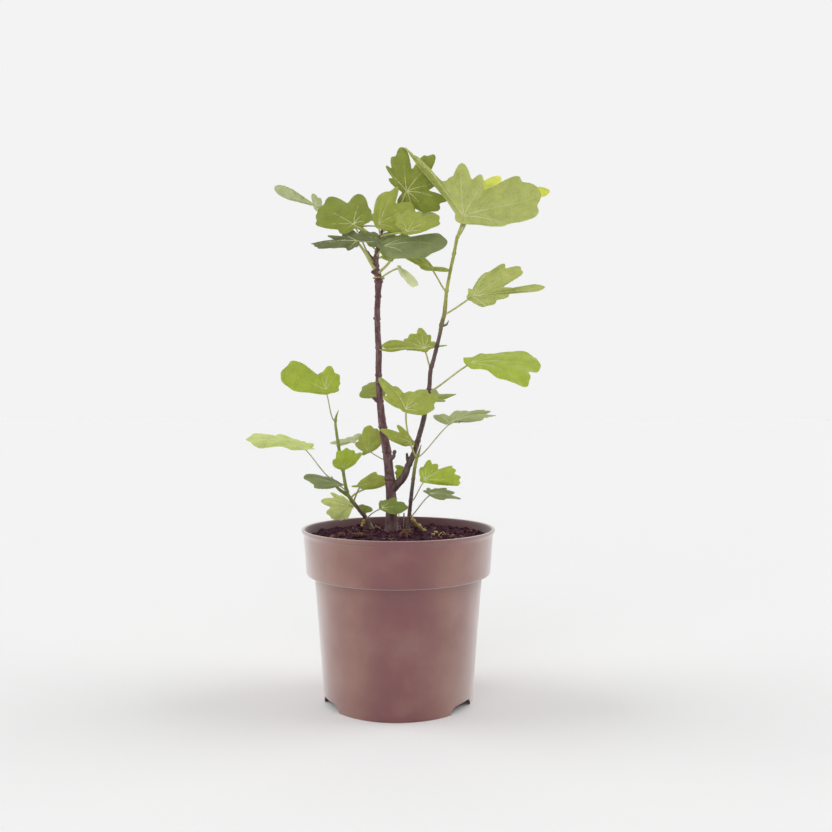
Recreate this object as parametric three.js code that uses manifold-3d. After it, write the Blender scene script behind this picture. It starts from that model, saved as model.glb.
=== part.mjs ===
// Young fig tree in a 19 cm nursery pot, as an assembly of separate named solids.
// Millimetres, +Z up. The origin is on the pot's axis, at its flat underside.
// The side that faces -Y is the front.
import * as THREE from 'three';
import { mergeVertices } from 'three/addons/utils/BufferGeometryUtils.js';
import Module from 'manifold-3d';

const wasm = await Module();
wasm.setup();

// ---------------------------------------------------------------- driving dimensions
const SEAT = 0.3; // clearance kept between two pieces that touch

// Pot: a thin moulded shell with a deep collar and a rolled rim.
const POT_HEIGHT = 167;
const RIM_RADIUS = 95;
const BEAD_HEIGHT = 4;
const WALL = 1.4;
const COLLAR_TOP_RADIUS = 93;
const COLLAR_FOOT_RADIUS = 90;
const COLLAR_FOOT_HEIGHT = 123;
const COLLAR_ROUND = 2; // rounding of the collar's foot
const SHELF_RISE = 1.5; // rise of the wall where the body turns out into the collar
const BEAD_ROUND = 1; // rounding of the rim's edges
const BODY_TOP_RADIUS = 82;
const FOOT_RADIUS = 72.8;
const BASE_DISC_RADIUS = 54;
const BASE_THICKNESS = 2;
const CHANNEL_INNER_RADIUS = 57;
const CHANNEL_HEIGHT = 9;
const POT_SEGMENTS = 36;
const NOTCH_COUNT = 3;
const NOTCH_FIRST_ANGLE = -33;
const NOTCH_WIDTH = 37;
const NOTCH_HEIGHT = 7.5;
const NOTCH_SHOULDER = 9; // width of a notch's sloping side
const NOTCH_DEPTH = 12; // how far in from the foot's edge a notch reaches
const DRAIN_RADIUS = 3.5;
const DRAIN_SEGMENTS = 10;
const DRAIN_CIRCLE_RADIUS = 64;

// Compost: fills the pot, flat where the stems stand and lumpy towards the wall.
const SOIL_LEVEL = 161.5;
const SOIL_FLAT_RADIUS = 46;
const SOIL_SPREAD = 20; // width of the ring where the flat passes into the lumps
const SOIL_SURFACE_RADII = [78, 67, 56, SOIL_FLAT_RADIUS, 24, 0];
const SOIL_EDGE_DROP = 3.5;
const SOIL_LUMP = 1.6;
const FOOT_LEVEL = SOIL_LEVEL + SEAT;

// Leaves.
const LEAF_THICKNESS = 1;
const PETIOLE_RADIUS = 0.9;
const PETIOLE_SIDES = 5;
const PETIOLE_STEPS = 5;
const PETIOLE_RISE = 0.5; // how far a petiole turns up along its limb where it leaves
const PETIOLE_TURN = 0.35; // and towards the midrib where it meets the blade
const PETIOLE_BOW = 0.2; // share of its span that each end's bend takes
const LEAF_RINGS = [0.5, 1];
const BLADE_LIFT = [16]; // a blade rises from its joint and bends back down, in degrees
const BLADE_CURL = [-32];
const MARGIN_STEP = 7; // length of margin between two points of a leaf's outline
const FEWEST_MARGIN_POINTS = 18;
const MOST_MARGIN_POINTS = 40;
const LOBE_BLEND = 9; // higher keeps the notches between lobes sharper
const LEAF_HEART = 0.09; // least reach of a blade all round its joint
const LOBE_START = -0.1; // where a lobe's ellipse starts, just behind the joint

// Limbs: each point is [x, y, z, radius] on the centre line, from the foot up.
const TRUNK = [
  [-7.6, 18, FOOT_LEVEL, 8.0],
  [-7.7, 17.8, FOOT_LEVEL + 6, 6.2],
  [-7.3, 17, 187, 5.6],
  [-8.6, 17, 205, 5.0],
  [-11.3, 15, 235, 4.5],
  [-16.0, 13, 266, 4.1],
  [-18.9, 12, 293, 3.5],
  [-20.2, 11, 319, 3.1],
  [-20.0, 10, 342, 3.1],
  [-21.5, 9, 373, 3.0],
  [-20.6, 8, 400, 3.0],
  [-20.1, 8, 411, 4.1],
  [-20.3, 8, 415, 3.6],
  [-22.6, 8, 424, 3.4],
  [-23.2, 8, 431, 3.1],
  [-20.9, 7, 442, 2.2],
  [-18.8, 6, 452, 1.8],
  [-15.6, 5, 465, 1.1],
];
const TRUNK_STUBS = [
  [[-19, 12, 290, 2.6], [-23, 11, 293.5, 1.6], [-26.5, 10, 295.5, 1.2]],
  [[-10.5, 14, 232, 2.4], [-5.6, 11, 236, 1.9], [-4.0, 10, 243, 1.4]],
  [[-22.6, 8, 419, 2.6], [-27.5, 7, 421, 1.4]],
  [[-20.4, 9, 374, 2.2], [-25, 8.5, 375, 1.1]],
];
const FORK_TWIG = [
  [-23.2, 8, 431, 1.8],
  [-28, 9, 436, 1.6],
  [-33, 10, 442, 1.3],
];
const SECOND_STEM = [
  [-6.5, 16.5, 203, 4.4],
  [-0.8, 15, 209.5, 4.2],
  [5.0, 13, 216, 3.8],
  [9.8, 11, 228, 3.3],
  [15.4, 10, 240.5, 2.9],
  [20.0, 9, 256, 2.6],
  [24.6, 8, 273, 2.5],
  [30.3, 6, 305, 2.3],
  [31.8, 5, 322.5, 2.2],
  [35.2, 4, 335, 2.1],
  [40.6, 2, 357.5, 2.0],
  [42.6, 1, 368, 2.2],
  [45.0, 0, 377, 2.1],
  [47.4, -2, 400, 1.8],
  [51.0, -4, 420, 1.7],
  [54.6, -6, 436.5, 1.8],
  [57.0, -8, 449, 1.6],
  [61.6, -9, 463, 1.4],
];
const SECOND_STEM_STUBS = [
  [[10.4, 11, 228, 2.2], [8.6, 10, 234, 1.6], [8.0, 9, 240, 1.1]],
  [[42, 1, 366, 1.2], [46.4, -1.5, 366.4, 0.9], [49.5, -3, 371, 0.7]],
  [[61, -9, 461, 1.3], [64.6, -6.6, 465.5, 1.4], [67.8, -5.2, 471, 0.5]],
];
const RIGHT_SHOOT = [
  [8.8, 4, FOOT_LEVEL, 3.2],
  [9.4, 4, FOOT_LEVEL + 5, 2.3],
  [10.3, 4, 176, 2.1],
  [13.1, 2, 203, 1.9],
  [16.9, 0, 231, 1.8],
  [19.4, 0, 239, 1.5],
  [22.5, -1, 249, 0.5],
];
const LEFT_SHOOT = [
  [-28.8, 30, FOOT_LEVEL, 3.4],
  [-31, 29.5, FOOT_LEVEL + 5, 2.6],
  [-34, 28.6, 173, 2.2],
  [-42.8, 26, 184.5, 2.0],
  [-50.6, 23.5, 195, 1.9],
  [-53.4, 22, 203, 1.8],
  [-57.0, 19, 225.5, 1.7],
  [-61.5, 17, 251, 1.6],
  [-63.6, 15, 273.5, 1.4],
  [-60.5, 14, 283, 0.5],
];
const LEFT_FORK = [
  [-50.6, 23.5, 195, 1.7],
  [-62.8, 22, 205, 1.5],
  [-68.2, 20, 216.5, 0.5],
];
const LIMB_SIDES = { trunk: 10, second_stem: 8, shoot: 7, stub: 6 };

// Colours of the pieces.
const COLOURS = {
  pot: 0x87605d,
  soil: 0x3c2028,
  bark: 0x5a3f42,
  green_wood: 0x8a8a3e,
  leaf_bright: 0x9dba3c,
  leaf_olive: 0x82963c,
  leaf_grey: 0x7f9466,
  leaf_pale: 0xb3c08c,
};

// ---------------------------------------------------------------- leaf outlines
// A lobe is [angle from the midrib, reach, width, start]. Angles are in degrees, positive to
// the left of the midrib seen from the upper side. Reach is a share of the blade's length, and
// width a share of the lobe's own reach. start, where a lobe has one, is the share of its
// reach at which its ellipse begins.
const OUTLINES = {
  five: [[-118, 0.5, 0.6], [-58, 0.84, 0.56], [0, 1, 0.58], [58, 0.84, 0.56], [118, 0.5, 0.6]],
};

// ---------------------------------------------------------------- leaves
// Each leaf grows on a limb at a height. Its blade starts at the joint, where the veins
// part, and its midrib runs to the tip. faces is the way the upper side looks. Where a leaf
// has its own lift and curl, they say, lobe by lobe and in degrees, how far the blade stands
// up from its plane at the joint and how far it bends on towards the margin.
const LEAVES = [
  { name: 'crown_far_left', on: 'trunk', height: 442, joint: [-83, 28, 490], tip: [-127.5, 24, 509.5],
    faces: [-0.35, 0.8, 0.5], tint: 'leaf_pale',
    outline: [[0, 0.66, 0.05], [0, 1, 0.24, 0.42], [48, 0.3, 0.5], [82, 0.2, 0.6]] },
  { name: 'crown_left_front', on: 'trunk', height: 430, joint: [-43.5, -8, 464.5], tip: [-80.5, -14, 468],
    faces: [0.1, -1, 0.3], tint: 'leaf_olive',
    outline: [[-156, 0.5, 0.4], [-130, 0.64, 0.5], [-98, 0.91, 0.6], [-40, 0.98, 0.6], [-18, 1, 0.45],
      [-4, 1, 0.4], [9, 1, 0.3], [40, 0.47, 0.6], [150, 0.4, 0.25]] },
  { name: 'crown_left_low', on: 'trunk', height: 424, joint: [-40, -14, 447], tip: [-85.5, -8, 445.5],
    faces: [0, -1, 0.8], tint: 'leaf_grey',
    outline: [[-113, 0.28, 0.5], [-59, 0.38, 0.5], [-38, 0.45, 0.4], [-13, 0.67, 0.25], [2, 1, 0.1, 0.3],
      [7, 0.93, 0.15], [13, 0.85, 0.2], [24, 0.56, 0.35], [56, 0.33, 0.5], [96, 0.22, 0.5],
      [171, 0.54, 0.3]] },
  { name: 'crown_right_low', on: 'trunk', height: 437, joint: [-14, -7, 443.5], tip: [46.5, -24, 442],
    faces: [0, -1, 0.9], tint: 'leaf_grey',
    outline: [[-47, 0.5, 0.4], [-36, 0.61, 0.5], [-23, 0.8, 0.4], [-10, 0.93, 0.4], [-3, 0.97, 0.4],
      [4, 0.97, 0.3], [12, 0.85, 0.22], [22, 0.57, 0.3], [60, 0.18, 0.5]] },
  { name: 'crown_mid_left', on: 'trunk', height: 457, joint: [-19.5, 0, 466], tip: [-10.5, 2, 499],
    faces: [0, -1, 0.2], tint: 'leaf_olive',
    outline: [[-90, 0.74, 0.35], [-61, 1.08, 0.4], [-45, 1.15, 0.5], [-11, 1.23, 0.25], [0, 1, 0.5],
      [13, 0.82, 0.35]] },
  { name: 'crown_mid_low', on: 'trunk', height: 455, joint: [8.5, -29, 452.5], tip: [40, -22, 465],
    faces: [0, -1, 0.6], tint: 'leaf_olive',
    outline: [[-20, 0.58, 0.3], [-6, 0.97, 0.3], [8, 1.08, 0.4], [40, 0.84, 0.4], [62, 0.78, 0.5],
      [86, 0.7, 0.4], [112, 0.45, 0.4]] },
  { name: 'crown_top', on: 'trunk', height: 464, joint: [8, 10, 501], tip: [4, 2, 542],
    faces: [-0.1, -1, 0.15], tint: 'leaf_olive',
    outline: [[-178, 0.7, 0.4], [-140, 0.68, 0.4], [-123, 0.9, 0.4], [-107, 1, 0.25], [-76, 0.82, 0.35],
      [-44, 1.08, 0.3], [-33, 0.93, 0.25], [-2, 0.98, 0.3], [4, 1, 0.3], [18, 0.88, 0.3],
      [34, 0.79, 0.14, 0.3], [49, 0.53, 0.3], [136, 0.36, 0.4]] },
  { name: 'crown_back_high', on: 'trunk', height: 460, joint: [1, 34, 476], tip: [4, 78, 503],
    faces: [0, 0, 1], tint: 'leaf_olive', outline: OUTLINES.five },
  { name: 'crown_back_left', on: 'trunk', height: 450, joint: [-40, 46, 474], tip: [-54, 81, 482],
    faces: [0, 0, 1], tint: 'leaf_olive', outline: OUTLINES.five },
  { name: 'crown_back_low', on: 'trunk', height: 434, joint: [3, 38, 452], tip: [28, 76, 459],
    faces: [0, 0, 1], tint: 'leaf_grey', outline: OUTLINES.five },
  { name: 'ring_hanging', on: 'trunk', height: 414, joint: [0.5, -4, 423], tip: [19, -8, 404],
    faces: [0.5, -0.8, 0.3], tint: 'leaf_pale',
    outline: [[-30, 0.5, 0.3], [-12, 1, 0.3, 0.3], [0, 0.5, 0.2], [1, 1, 0.3, 0.2]] },
  { name: 'ring_curl', on: 'trunk', height: 419, joint: [-7, -6, 429.5], tip: [-18.5, -14, 431],
    faces: [0, -1, 0.5], tint: 'leaf_olive',
    outline: [[-111, 0.72, 0.5], [-77, 1.05, 0.5], [-40, 1.04, 0.5], [0, 1, 0.3]] },
  { name: 'trunk_back', on: 'trunk', height: 293, joint: [-16.5, 26, 298.5], tip: [-40.5, 34, 299.5],
    faces: [0, -0.8, 0.6], tint: 'leaf_olive',
    outline: [[-54, 0.87, 0.4], [-39, 0.97, 0.4], [-21, 1.06, 0.5], [0, 1, 0.4], [8, 0.94, 0.25]] },
  { name: 'trunk_left', on: 'trunk', height: 233, joint: [-31.5, 24, 242], tip: [-29.5, 30, 267.5],
    faces: [0, -1, 0.4], tint: 'leaf_olive',
    outline: [[-55, 0.58, 0.4], [-36, 0.8, 0.5], [-18, 0.94, 0.4], [0, 1, 0.4], [11, 0.92, 0.4],
      [35, 0.65, 0.5], [64, 0.58, 0.5], [132, 0.3, 0.5]] },
  { name: 'second_top', on: 'second_stem', height: 463, joint: [63.5, -12, 471.5], tip: [62, -4, 526],
    faces: [0, 0.9, 0.3], tint: 'leaf_pale',
    outline: [[-37, 1.68, 0.05], [-35, 1.4, 0.08], [-32, 1.07, 0.08], [-28, 0.75, 0.3], [-17, 0.76, 0.3],
      [0, 1.01, 0.35], [23, 0.86, 0.3], [31, 0.69, 0.3], [55, 1.24, 0.22], [68, 1.37, 0.4],
      [76, 1.41, 0.35],
      [87, 1.32, 0.25], [92, 1.2, 0.2], [101, 0.8, 0.2], [106, 0.7, 0.15]] },
  { name: 'second_top_behind', on: 'second_stem', height: 452, joint: [78.5, 14, 488.5],
    tip: [152, 20, 505],
    faces: [0, -1, 0.4], tint: 'leaf_bright',
    outline: [[-60, 0.25, 0.5], [-3, 0.9, 0.1, 0.4], [0, 1, 0.12, 0.5], [1, 0.72, 0.14],
      [43, 0.59, 0.35], [62, 0.36, 0.4], [110, 0.22, 0.5]] },
  { name: 'second_left', on: 'second_stem', height: 400, joint: [33, 8, 424], tip: [4.5, 2, 435],
    faces: [0, -1, 0.6], tint: 'leaf_olive',
    outline: [[-162, 0.62, 0.35], [-24, 0.62, 0.4], [-12, 0.93, 0.3], [2, 1, 0.2, 0.1],
      [20, 0.42, 0.5]] },
  { name: 'second_right_upper', on: 'second_stem', height: 378, joint: [72, -14, 393],
    tip: [118, -22, 420],
    faces: [0.3, 1, 0.5], tint: 'leaf_pale',
    outline: [[-84, 0.16, 0.5], [-28, 0.5, 0.3], [-14, 0.82, 0.25], [0, 1.01, 0.25], [6, 0.98, 0.15],
      [22, 0.79, 0.2], [24, 1.1, 0.045], [24, 1.3, 0.1, 0.72], [31, 0.66, 0.25],
      [47, 0.45, 0.4], [66, 0.3, 0.5], [101, 0.14, 0.5]] },
  { name: 'second_right_bright', on: 'second_stem', height: 302, joint: [71, -10, 329],
    tip: [135.5, -20, 325],
    faces: [0, -0.55, 0.85], tint: 'leaf_bright',
    outline: [[-34, 1.04, 0.22, 0.2], [-26, 1, 0.3], [-10, 0.99, 0.4], [0, 1.02, 0.4], [12, 0.96, 0.4],
      [21, 0.84, 0.3], [30, 0.7, 0.22], [60, 0.3, 0.5], [152, 0.14, 0.5]] },
  { name: 'second_mid', on: 'second_stem', height: 326, joint: [26, 10, 344], tip: [-20, -2, 341],
    faces: [0, -0.8, 0.6], tint: 'leaf_olive',
    outline: [[-172, 0.52, 0.2], [-147, 0.33, 0.35], [-117, 0.43, 0.3], [-93, 0.61, 0.4], [-62, 0.5, 0.5],
      [-37, 0.5, 0.5], [-14, 0.82, 0.25], [-9, 0.92, 0.18], [0, 1, 0.08, 0.5]] },
  { name: 'second_back', on: 'second_stem', height: 281, joint: [28, 40, 294], tip: [28, 82, 306],
    faces: [0, 0, 1], tint: 'leaf_olive', outline: OUTLINES.five },
  { name: 'second_front', on: 'second_stem', height: 241, joint: [12.5, 1, 250.5], tip: [-18, -9, 264],
    faces: [0, -1, 0.4], tint: 'leaf_olive',
    outline: [[-30, 0.66, 0.3], [0, 1, 0.25], [12, 0.74, 0.3], [31, 0.3, 0.5]] },
  { name: 'second_foot', on: 'second_stem', height: 227, joint: [8, 26, 221], tip: [-4.5, 30, 218.5],
    faces: [0, -1, 0.3], tint: 'leaf_bright',
    outline: [[-31, 1.08, 0.4], [0, 1, 0.5], [23, 1.04, 0.4]] },
  { name: 'right_front', on: 'right_shoot', height: 236, joint: [7, -21, 283.5], tip: [40, -29, 292.5],
    faces: [0, -1, 0.6], tint: 'leaf_olive',
    outline: [[-30, 0.59, 0.3], [-16, 0.87, 0.4], [5, 0.97, 0.45], [28, 0.81, 0.4], [44, 0.67, 0.5],
      [70, 0.58, 0.6], [106, 0.84, 0.35], [118, 1.42, 0.2], [136, 0.84, 0.2]] },
  { name: 'right_top', on: 'right_shoot', height: 237, joint: [49, -20, 269.5], tip: [95, -24, 276.5],
    faces: [0, -0.5, 1], tint: 'leaf_grey', lift: [26], curl: [-52],
    outline: [[-60, 0.14, 0.5], [0, 1.02, 0.08, 0.4], [14, 0.95, 0.15], [24, 0.87, 0.25], [46, 0.62, 0.4],
      [66, 0.52, 0.4], [106, 0.54, 0.35], [122, 0.58, 0.4]] },
  { name: 'right_bright', on: 'right_shoot', height: 193, joint: [25, -8, 214], tip: [61, -16, 215],
    faces: [0, -1, 0.6], tint: 'leaf_bright', lift: [26], curl: [-52],
    outline: [[-10, 0.97, 0.12], [-5, 1.02, 0.2], [4, 1.02, 0.25], [18, 0.92, 0.3], [29, 0.86, 0.25],
      [55, 0.6, 0.4], [80, 0.63, 0.4], [106, 0.44, 0.4]] },
  { name: 'right_dark', on: 'right_shoot', height: 177, joint: [31, -20, 202], tip: [60.5, -26, 197],
    faces: [0, -0.5, 1], tint: 'leaf_grey',
    outline: [[-22, 0.57, 0.4], [0, 1, 0.3], [24, 0.8, 0.35], [48, 0.64, 0.4], [71, 0.4, 0.4],
      [118, 0.33, 0.5], [175, 0.25, 0.5]] },
  { name: 'left_top', on: 'left_shoot', height: 272, joint: [-72.5, 8, 303], tip: [-116.5, 4, 319.5],
    faces: [0, -1, 0.35], tint: 'leaf_bright',
    outline: [[-160, 0.28, 0.5], [-131, 0.34, 0.5], [-108, 0.45, 0.5], [-79, 0.54, 0.5], [-53, 0.4, 0.5],
      [-19, 0.95, 0.3], [-9, 0.95, 0.4], [0, 1, 0.35], [9, 0.94, 0.3], [20, 0.72, 0.25]] },
  { name: 'left_strip', on: 'left_shoot', height: 247, joint: [-48, 38, 251], tip: [-71.5, 36, 248.5],
    faces: [0, -0.3, 1], tint: 'leaf_grey',
    outline: [[-113, 0.96, 0.35], [-71, 0.66, 0.5], [-30, 0.8, 0.4], [0, 1, 0.5], [38, 0.73, 0.5],
      [100, 0.4, 0.5]] },
  { name: 'left_two_lobed', on: 'left_shoot', height: 221, joint: [-55, 12, 225], tip: [-51.5, 10, 245.5],
    faces: [0, -1, 0.3], tint: 'leaf_bright',
    outline: [[-54, 0.66, 0.3], [-40, 1.15, 0.3], [-20, 1, 0.4], [0, 1, 0.5], [27, 0.9, 0.5],
      [63, 0.66, 0.5], [79, 0.57, 0.5]] },
  { name: 'left_inner', on: 'left_shoot', height: 190, joint: [-39, 16, 206.5], tip: [-14.5, 28, 214],
    faces: [0, -1, 0.5], tint: 'leaf_olive',
    outline: [[-16, 0.93, 0.3], [0, 1, 0.5], [21, 0.85, 0.25], [166, 0.33, 0.3]] },
  { name: 'left_grey', on: 'left_shoot', height: 201, joint: [-58.5, 2, 208.5], tip: [-92, -12, 216.5],
    faces: [0, -0.5, 1], tint: 'leaf_grey',
    outline: [[-59, 0.37, 0.5], [-43, 0.5, 0.5], [-9, 0.93, 0.35], [0, 1, 0.4], [14, 0.9, 0.4],
      [28, 0.9, 0.25]] },
  { name: 'left_hanging', on: 'left_shoot', height: 185, joint: [-50, 34, 184.5], tip: [-80, 26, 190.5],
    faces: [0, -0.9, 0.5], tint: 'leaf_bright',
    outline: [[-41, 0.48, 0.3], [-26, 0.8, 0.25], [0, 1, 0.35], [27, 0.88, 0.35], [42, 0.82, 0.4],
      [60, 0.62, 0.4], [78, 0.5, 0.25]] },
  { name: 'left_small', on: 'left_shoot', height: 177, joint: [-43, 38, 182], tip: [-27.5, 42, 179.5],
    faces: [0, -1, 0.5], tint: 'leaf_olive',
    outline: [[-60, 0.38, 0.5], [-27, 0.64, 0.5], [0, 1, 0.5], [33, 0.5, 0.5]] },
  { name: 'front_base', on: 'left_shoot', height: 172, joint: [-16, -12, 187.5], tip: [10, -18, 188],
    faces: [0, -0.8, 0.8], tint: 'leaf_olive',
    outline: [[-26, 0.56, 0.4], [-13, 0.84, 0.4], [0, 1, 0.4], [15, 0.84, 0.4], [43, 0.68, 0.4],
      [77, 0.4, 0.5], [106, 0.4, 0.5]] },
  { name: 'left_back', on: 'left_shoot', height: 193, joint: [-21, 50, 206], tip: [-12, 80, 211],
    faces: [0, 0, 1], tint: 'leaf_olive', outline: OUTLINES.five },
  { name: 'left_far', on: 'left_fork', height: 214, joint: [-94, 12, 244.5], tip: [-151, 6, 252.5],
    faces: [0, -0.34, 1], tint: 'leaf_bright',
    outline: [[-127, 0.22, 0.5], [-60, 0.44, 0.4], [-38, 0.67, 0.35], [-18, 0.93, 0.3], [-9, 0.98, 0.4],
      [0, 1, 0.4], [8, 0.94, 0.3], [15, 0.86, 0.12, 0.5], [174, 0.18, 0.5]] },
];

// ---------------------------------------------------------------- small helpers
const radians = (degrees) => (degrees * Math.PI) / 180;
const vector = (place) => new THREE.Vector3(place[0], place[1], place[2]);
const smooth = (share) => share * share * (3 - 2 * share);

function closedGeometry(points, faces) {
  const geometry = new THREE.BufferGeometry();
  const places = points.flatMap((point) => [point.x, point.y, point.z]);
  geometry.setAttribute('position', new THREE.Float32BufferAttribute(places, 3));
  geometry.setIndex(faces.flat());
  return geometry;
}

function toSolid(geometry) {
  const bare = geometry.clone();
  bare.deleteAttribute('normal');
  bare.deleteAttribute('uv');
  const merged = mergeVertices(bare, 1e-4);
  return new wasm.Manifold(new wasm.Mesh({
    numProp: 3,
    vertProperties: new Float32Array(merged.attributes.position.array),
    triVerts: new Uint32Array(merged.index.array),
  }));
}

function toGeometry(solid) {
  const mesh = solid.getMesh();
  const geometry = new THREE.BufferGeometry();
  geometry.setAttribute('position', new THREE.BufferAttribute(mesh.vertProperties, 3));
  geometry.setIndex(new THREE.BufferAttribute(mesh.triVerts, 1));
  return geometry;
}

// A cut can leave a sliver behind: only the largest body is the piece.
function largestBody(solid) {
  return solid.decompose().reduce((best, body) => (body.volume() > best.volume() ? body : best));
}

// ---------------------------------------------------------------- limbs
// A limb's centre line and radius at a share of its length.
function limbAlong(points) {
  const curve = new THREE.CatmullRomCurve3(points.map(vector), false, 'centripetal');
  const last = points.length - 1;
  const at = (share) => {
    const place = Math.min(share * last, last - 1e-6);
    const step = Math.floor(place);
    const blend = place - step;
    return {
      centre: curve.getPoint(share),
      tangent: curve.getTangent(share),
      radius: points[step][3] * (1 - blend) + points[step + 1][3] * blend,
    };
  };
  return { at, steps: last };
}

// A closed tapering tube through the points, with flat ends. The foot's end is level.
function taperedTube(points, sides, stepsEach, grow = 0, levelFoot = false) {
  const along = limbAlong(points);
  const rings = along.steps * stepsEach;
  const vertices = [];
  let side = new THREE.Vector3(1, 0, 0);
  for (let ring = 0; ring <= rings; ring += 1) {
    const { centre, tangent, radius } = along.at(ring / rings);
    const axis = ring === 0 && levelFoot ? new THREE.Vector3(0, 0, 1) : tangent;
    side = side.clone().addScaledVector(axis, -side.dot(axis)).normalize();
    const across = new THREE.Vector3().crossVectors(axis, side);
    for (let corner = 0; corner < sides; corner += 1) {
      const turn = (corner / sides) * 2 * Math.PI;
      vertices.push(centre.clone()
        .addScaledVector(side, Math.cos(turn) * (radius + grow))
        .addScaledVector(across, Math.sin(turn) * (radius + grow)));
    }
  }
  const faces = [];
  for (let ring = 0; ring < rings; ring += 1) {
    for (let corner = 0; corner < sides; corner += 1) {
      const a = ring * sides + corner;
      const b = ring * sides + ((corner + 1) % sides);
      faces.push([a, b, b + sides], [a, b + sides, a + sides]);
    }
  }
  const top = rings * sides;
  for (let corner = 1; corner < sides - 1; corner += 1) {
    faces.push([0, corner + 1, corner], [top, top + corner, top + corner + 1]);
  }
  return closedGeometry(vertices, faces);
}

const tubeSolid = (points, sides, stepsEach, grow, levelFoot) => toSolid(
  taperedTube(points, sides, stepsEach, grow, levelFoot),
);

function limbSolid(points, sides, stubs = [], rooted = false) {
  return stubs.reduce(
    (limb, stub) => limb.add(tubeSolid(stub, LIMB_SIDES.stub, 1)),
    tubeSolid(points, sides, 1, 0, rooted),
  );
}

// The limb's share, centre and radius at a height. Every limb rises all the way.
function limbAtHeight(points, height) {
  const along = limbAlong(points);
  let low = 0;
  let high = 1;
  for (let halving = 0; halving < 24; halving += 1) {
    const middle = (low + high) / 2;
    if (along.at(middle).centre.z < height) low = middle;
    else high = middle;
  }
  return along.at(low);
}

// ---------------------------------------------------------------- leaves
// How far a lobe's ellipse reaches in the direction that lies off its axis by an angle.
// Beside a lobe that starts away from the joint there is nothing to reach.
function lobeReach(reach, width, start, off) {
  const half = (reach * (1 - start)) / 2;
  const centre = reach - half;
  const across = (reach * width) / 2;
  const a = (Math.cos(off) / half) ** 2 + (Math.sin(off) / across) ** 2;
  const b = (centre * Math.cos(off)) / half ** 2;
  const c = (centre / half) ** 2 - 1;
  return b * b < a * c || b < 0 && c > 0 ? 0 : (b + Math.sqrt(b * b - a * c)) / a;
}

// The outline: the furthest of all the lobes, blended, at an angle in degrees.
function outlineReach(outline, angle) {
  const sum = outline.reduce(
    (total, [at, reach, width, start = LOBE_START]) => total
      + lobeReach(reach, width, start, radians(angle - at)) ** LOBE_BLEND,
    LEAF_HEART ** LOBE_BLEND,
  );
  return sum ** (1 / LOBE_BLEND);
}

// A value given lobe by lobe, blended round the blade. One number serves every lobe.
function roundBlade(outline, values, angle) {
  if (values.length === 1) return values[0];
  for (let lobe = 0; lobe < outline.length; lobe += 1) {
    const next = (lobe + 1) % outline.length;
    const start = outline[lobe][0];
    const gap = (outline[next][0] - start + 360) % 360;
    const past = (((angle - start) % 360) + 360) % 360;
    if (past <= gap) return values[lobe] + (values[next] - values[lobe]) * smooth(past / gap);
  }
  return values[0];
}

// The blade's axes: along the midrib, to its left, and out of the upper side.
function bladeFrame(leaf) {
  const joint = vector(leaf.joint);
  const along = vector(leaf.tip).sub(joint);
  const length = along.length();
  along.normalize();
  const up = vector(leaf.faces);
  up.addScaledVector(along, -up.dot(along)).normalize();
  const left = new THREE.Vector3().crossVectors(up, along);
  return { joint, along, left, up, length };
}

// A point of the blade: a share of the way out to the margin, at an angle from the midrib.
function bladePoint(leaf, frame, angle, share) {
  const { outline, lift = BLADE_LIFT, curl = BLADE_CURL } = leaf;
  const reach = frame.length * outlineReach(outline, angle) * share;
  const half = radians(roundBlade(outline, curl, angle) * share) / 2;
  const rise = radians(roundBlade(outline, lift, angle)) + half;
  const chord = reach * (Math.abs(half) < 1e-6 ? 1 : Math.sin(half) / half);
  return frame.joint.clone()
    .addScaledVector(frame.along, chord * Math.cos(rise) * Math.cos(radians(angle)))
    .addScaledVector(frame.left, chord * Math.cos(rise) * Math.sin(radians(angle)))
    .addScaledVector(frame.up, chord * Math.sin(rise));
}

// Angles of the outline's points, evenly spaced along the margin.
function marginAngles(leaf, frame) {
  const margin = (angle) => bladePoint(leaf, frame, angle, 1);
  const lengths = [0];
  for (let angle = 1; angle <= 360; angle += 1) {
    lengths.push(lengths[angle - 1] + margin(angle - 180).distanceTo(margin(angle - 181)));
  }
  const wanted = Math.round(lengths[360] / MARGIN_STEP);
  const count = Math.max(FEWEST_MARGIN_POINTS, Math.min(MOST_MARGIN_POINTS, wanted));
  const angles = [];
  for (let point = 0; point < count; point += 1) {
    const goal = (lengths[360] * point) / count;
    const after = Math.max(1, lengths.findIndex((length) => length > goal));
    const blend = (goal - lengths[after - 1]) / (lengths[after] - lengths[after - 1]);
    angles.push(after - 181 + blend);
  }
  return angles;
}

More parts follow.
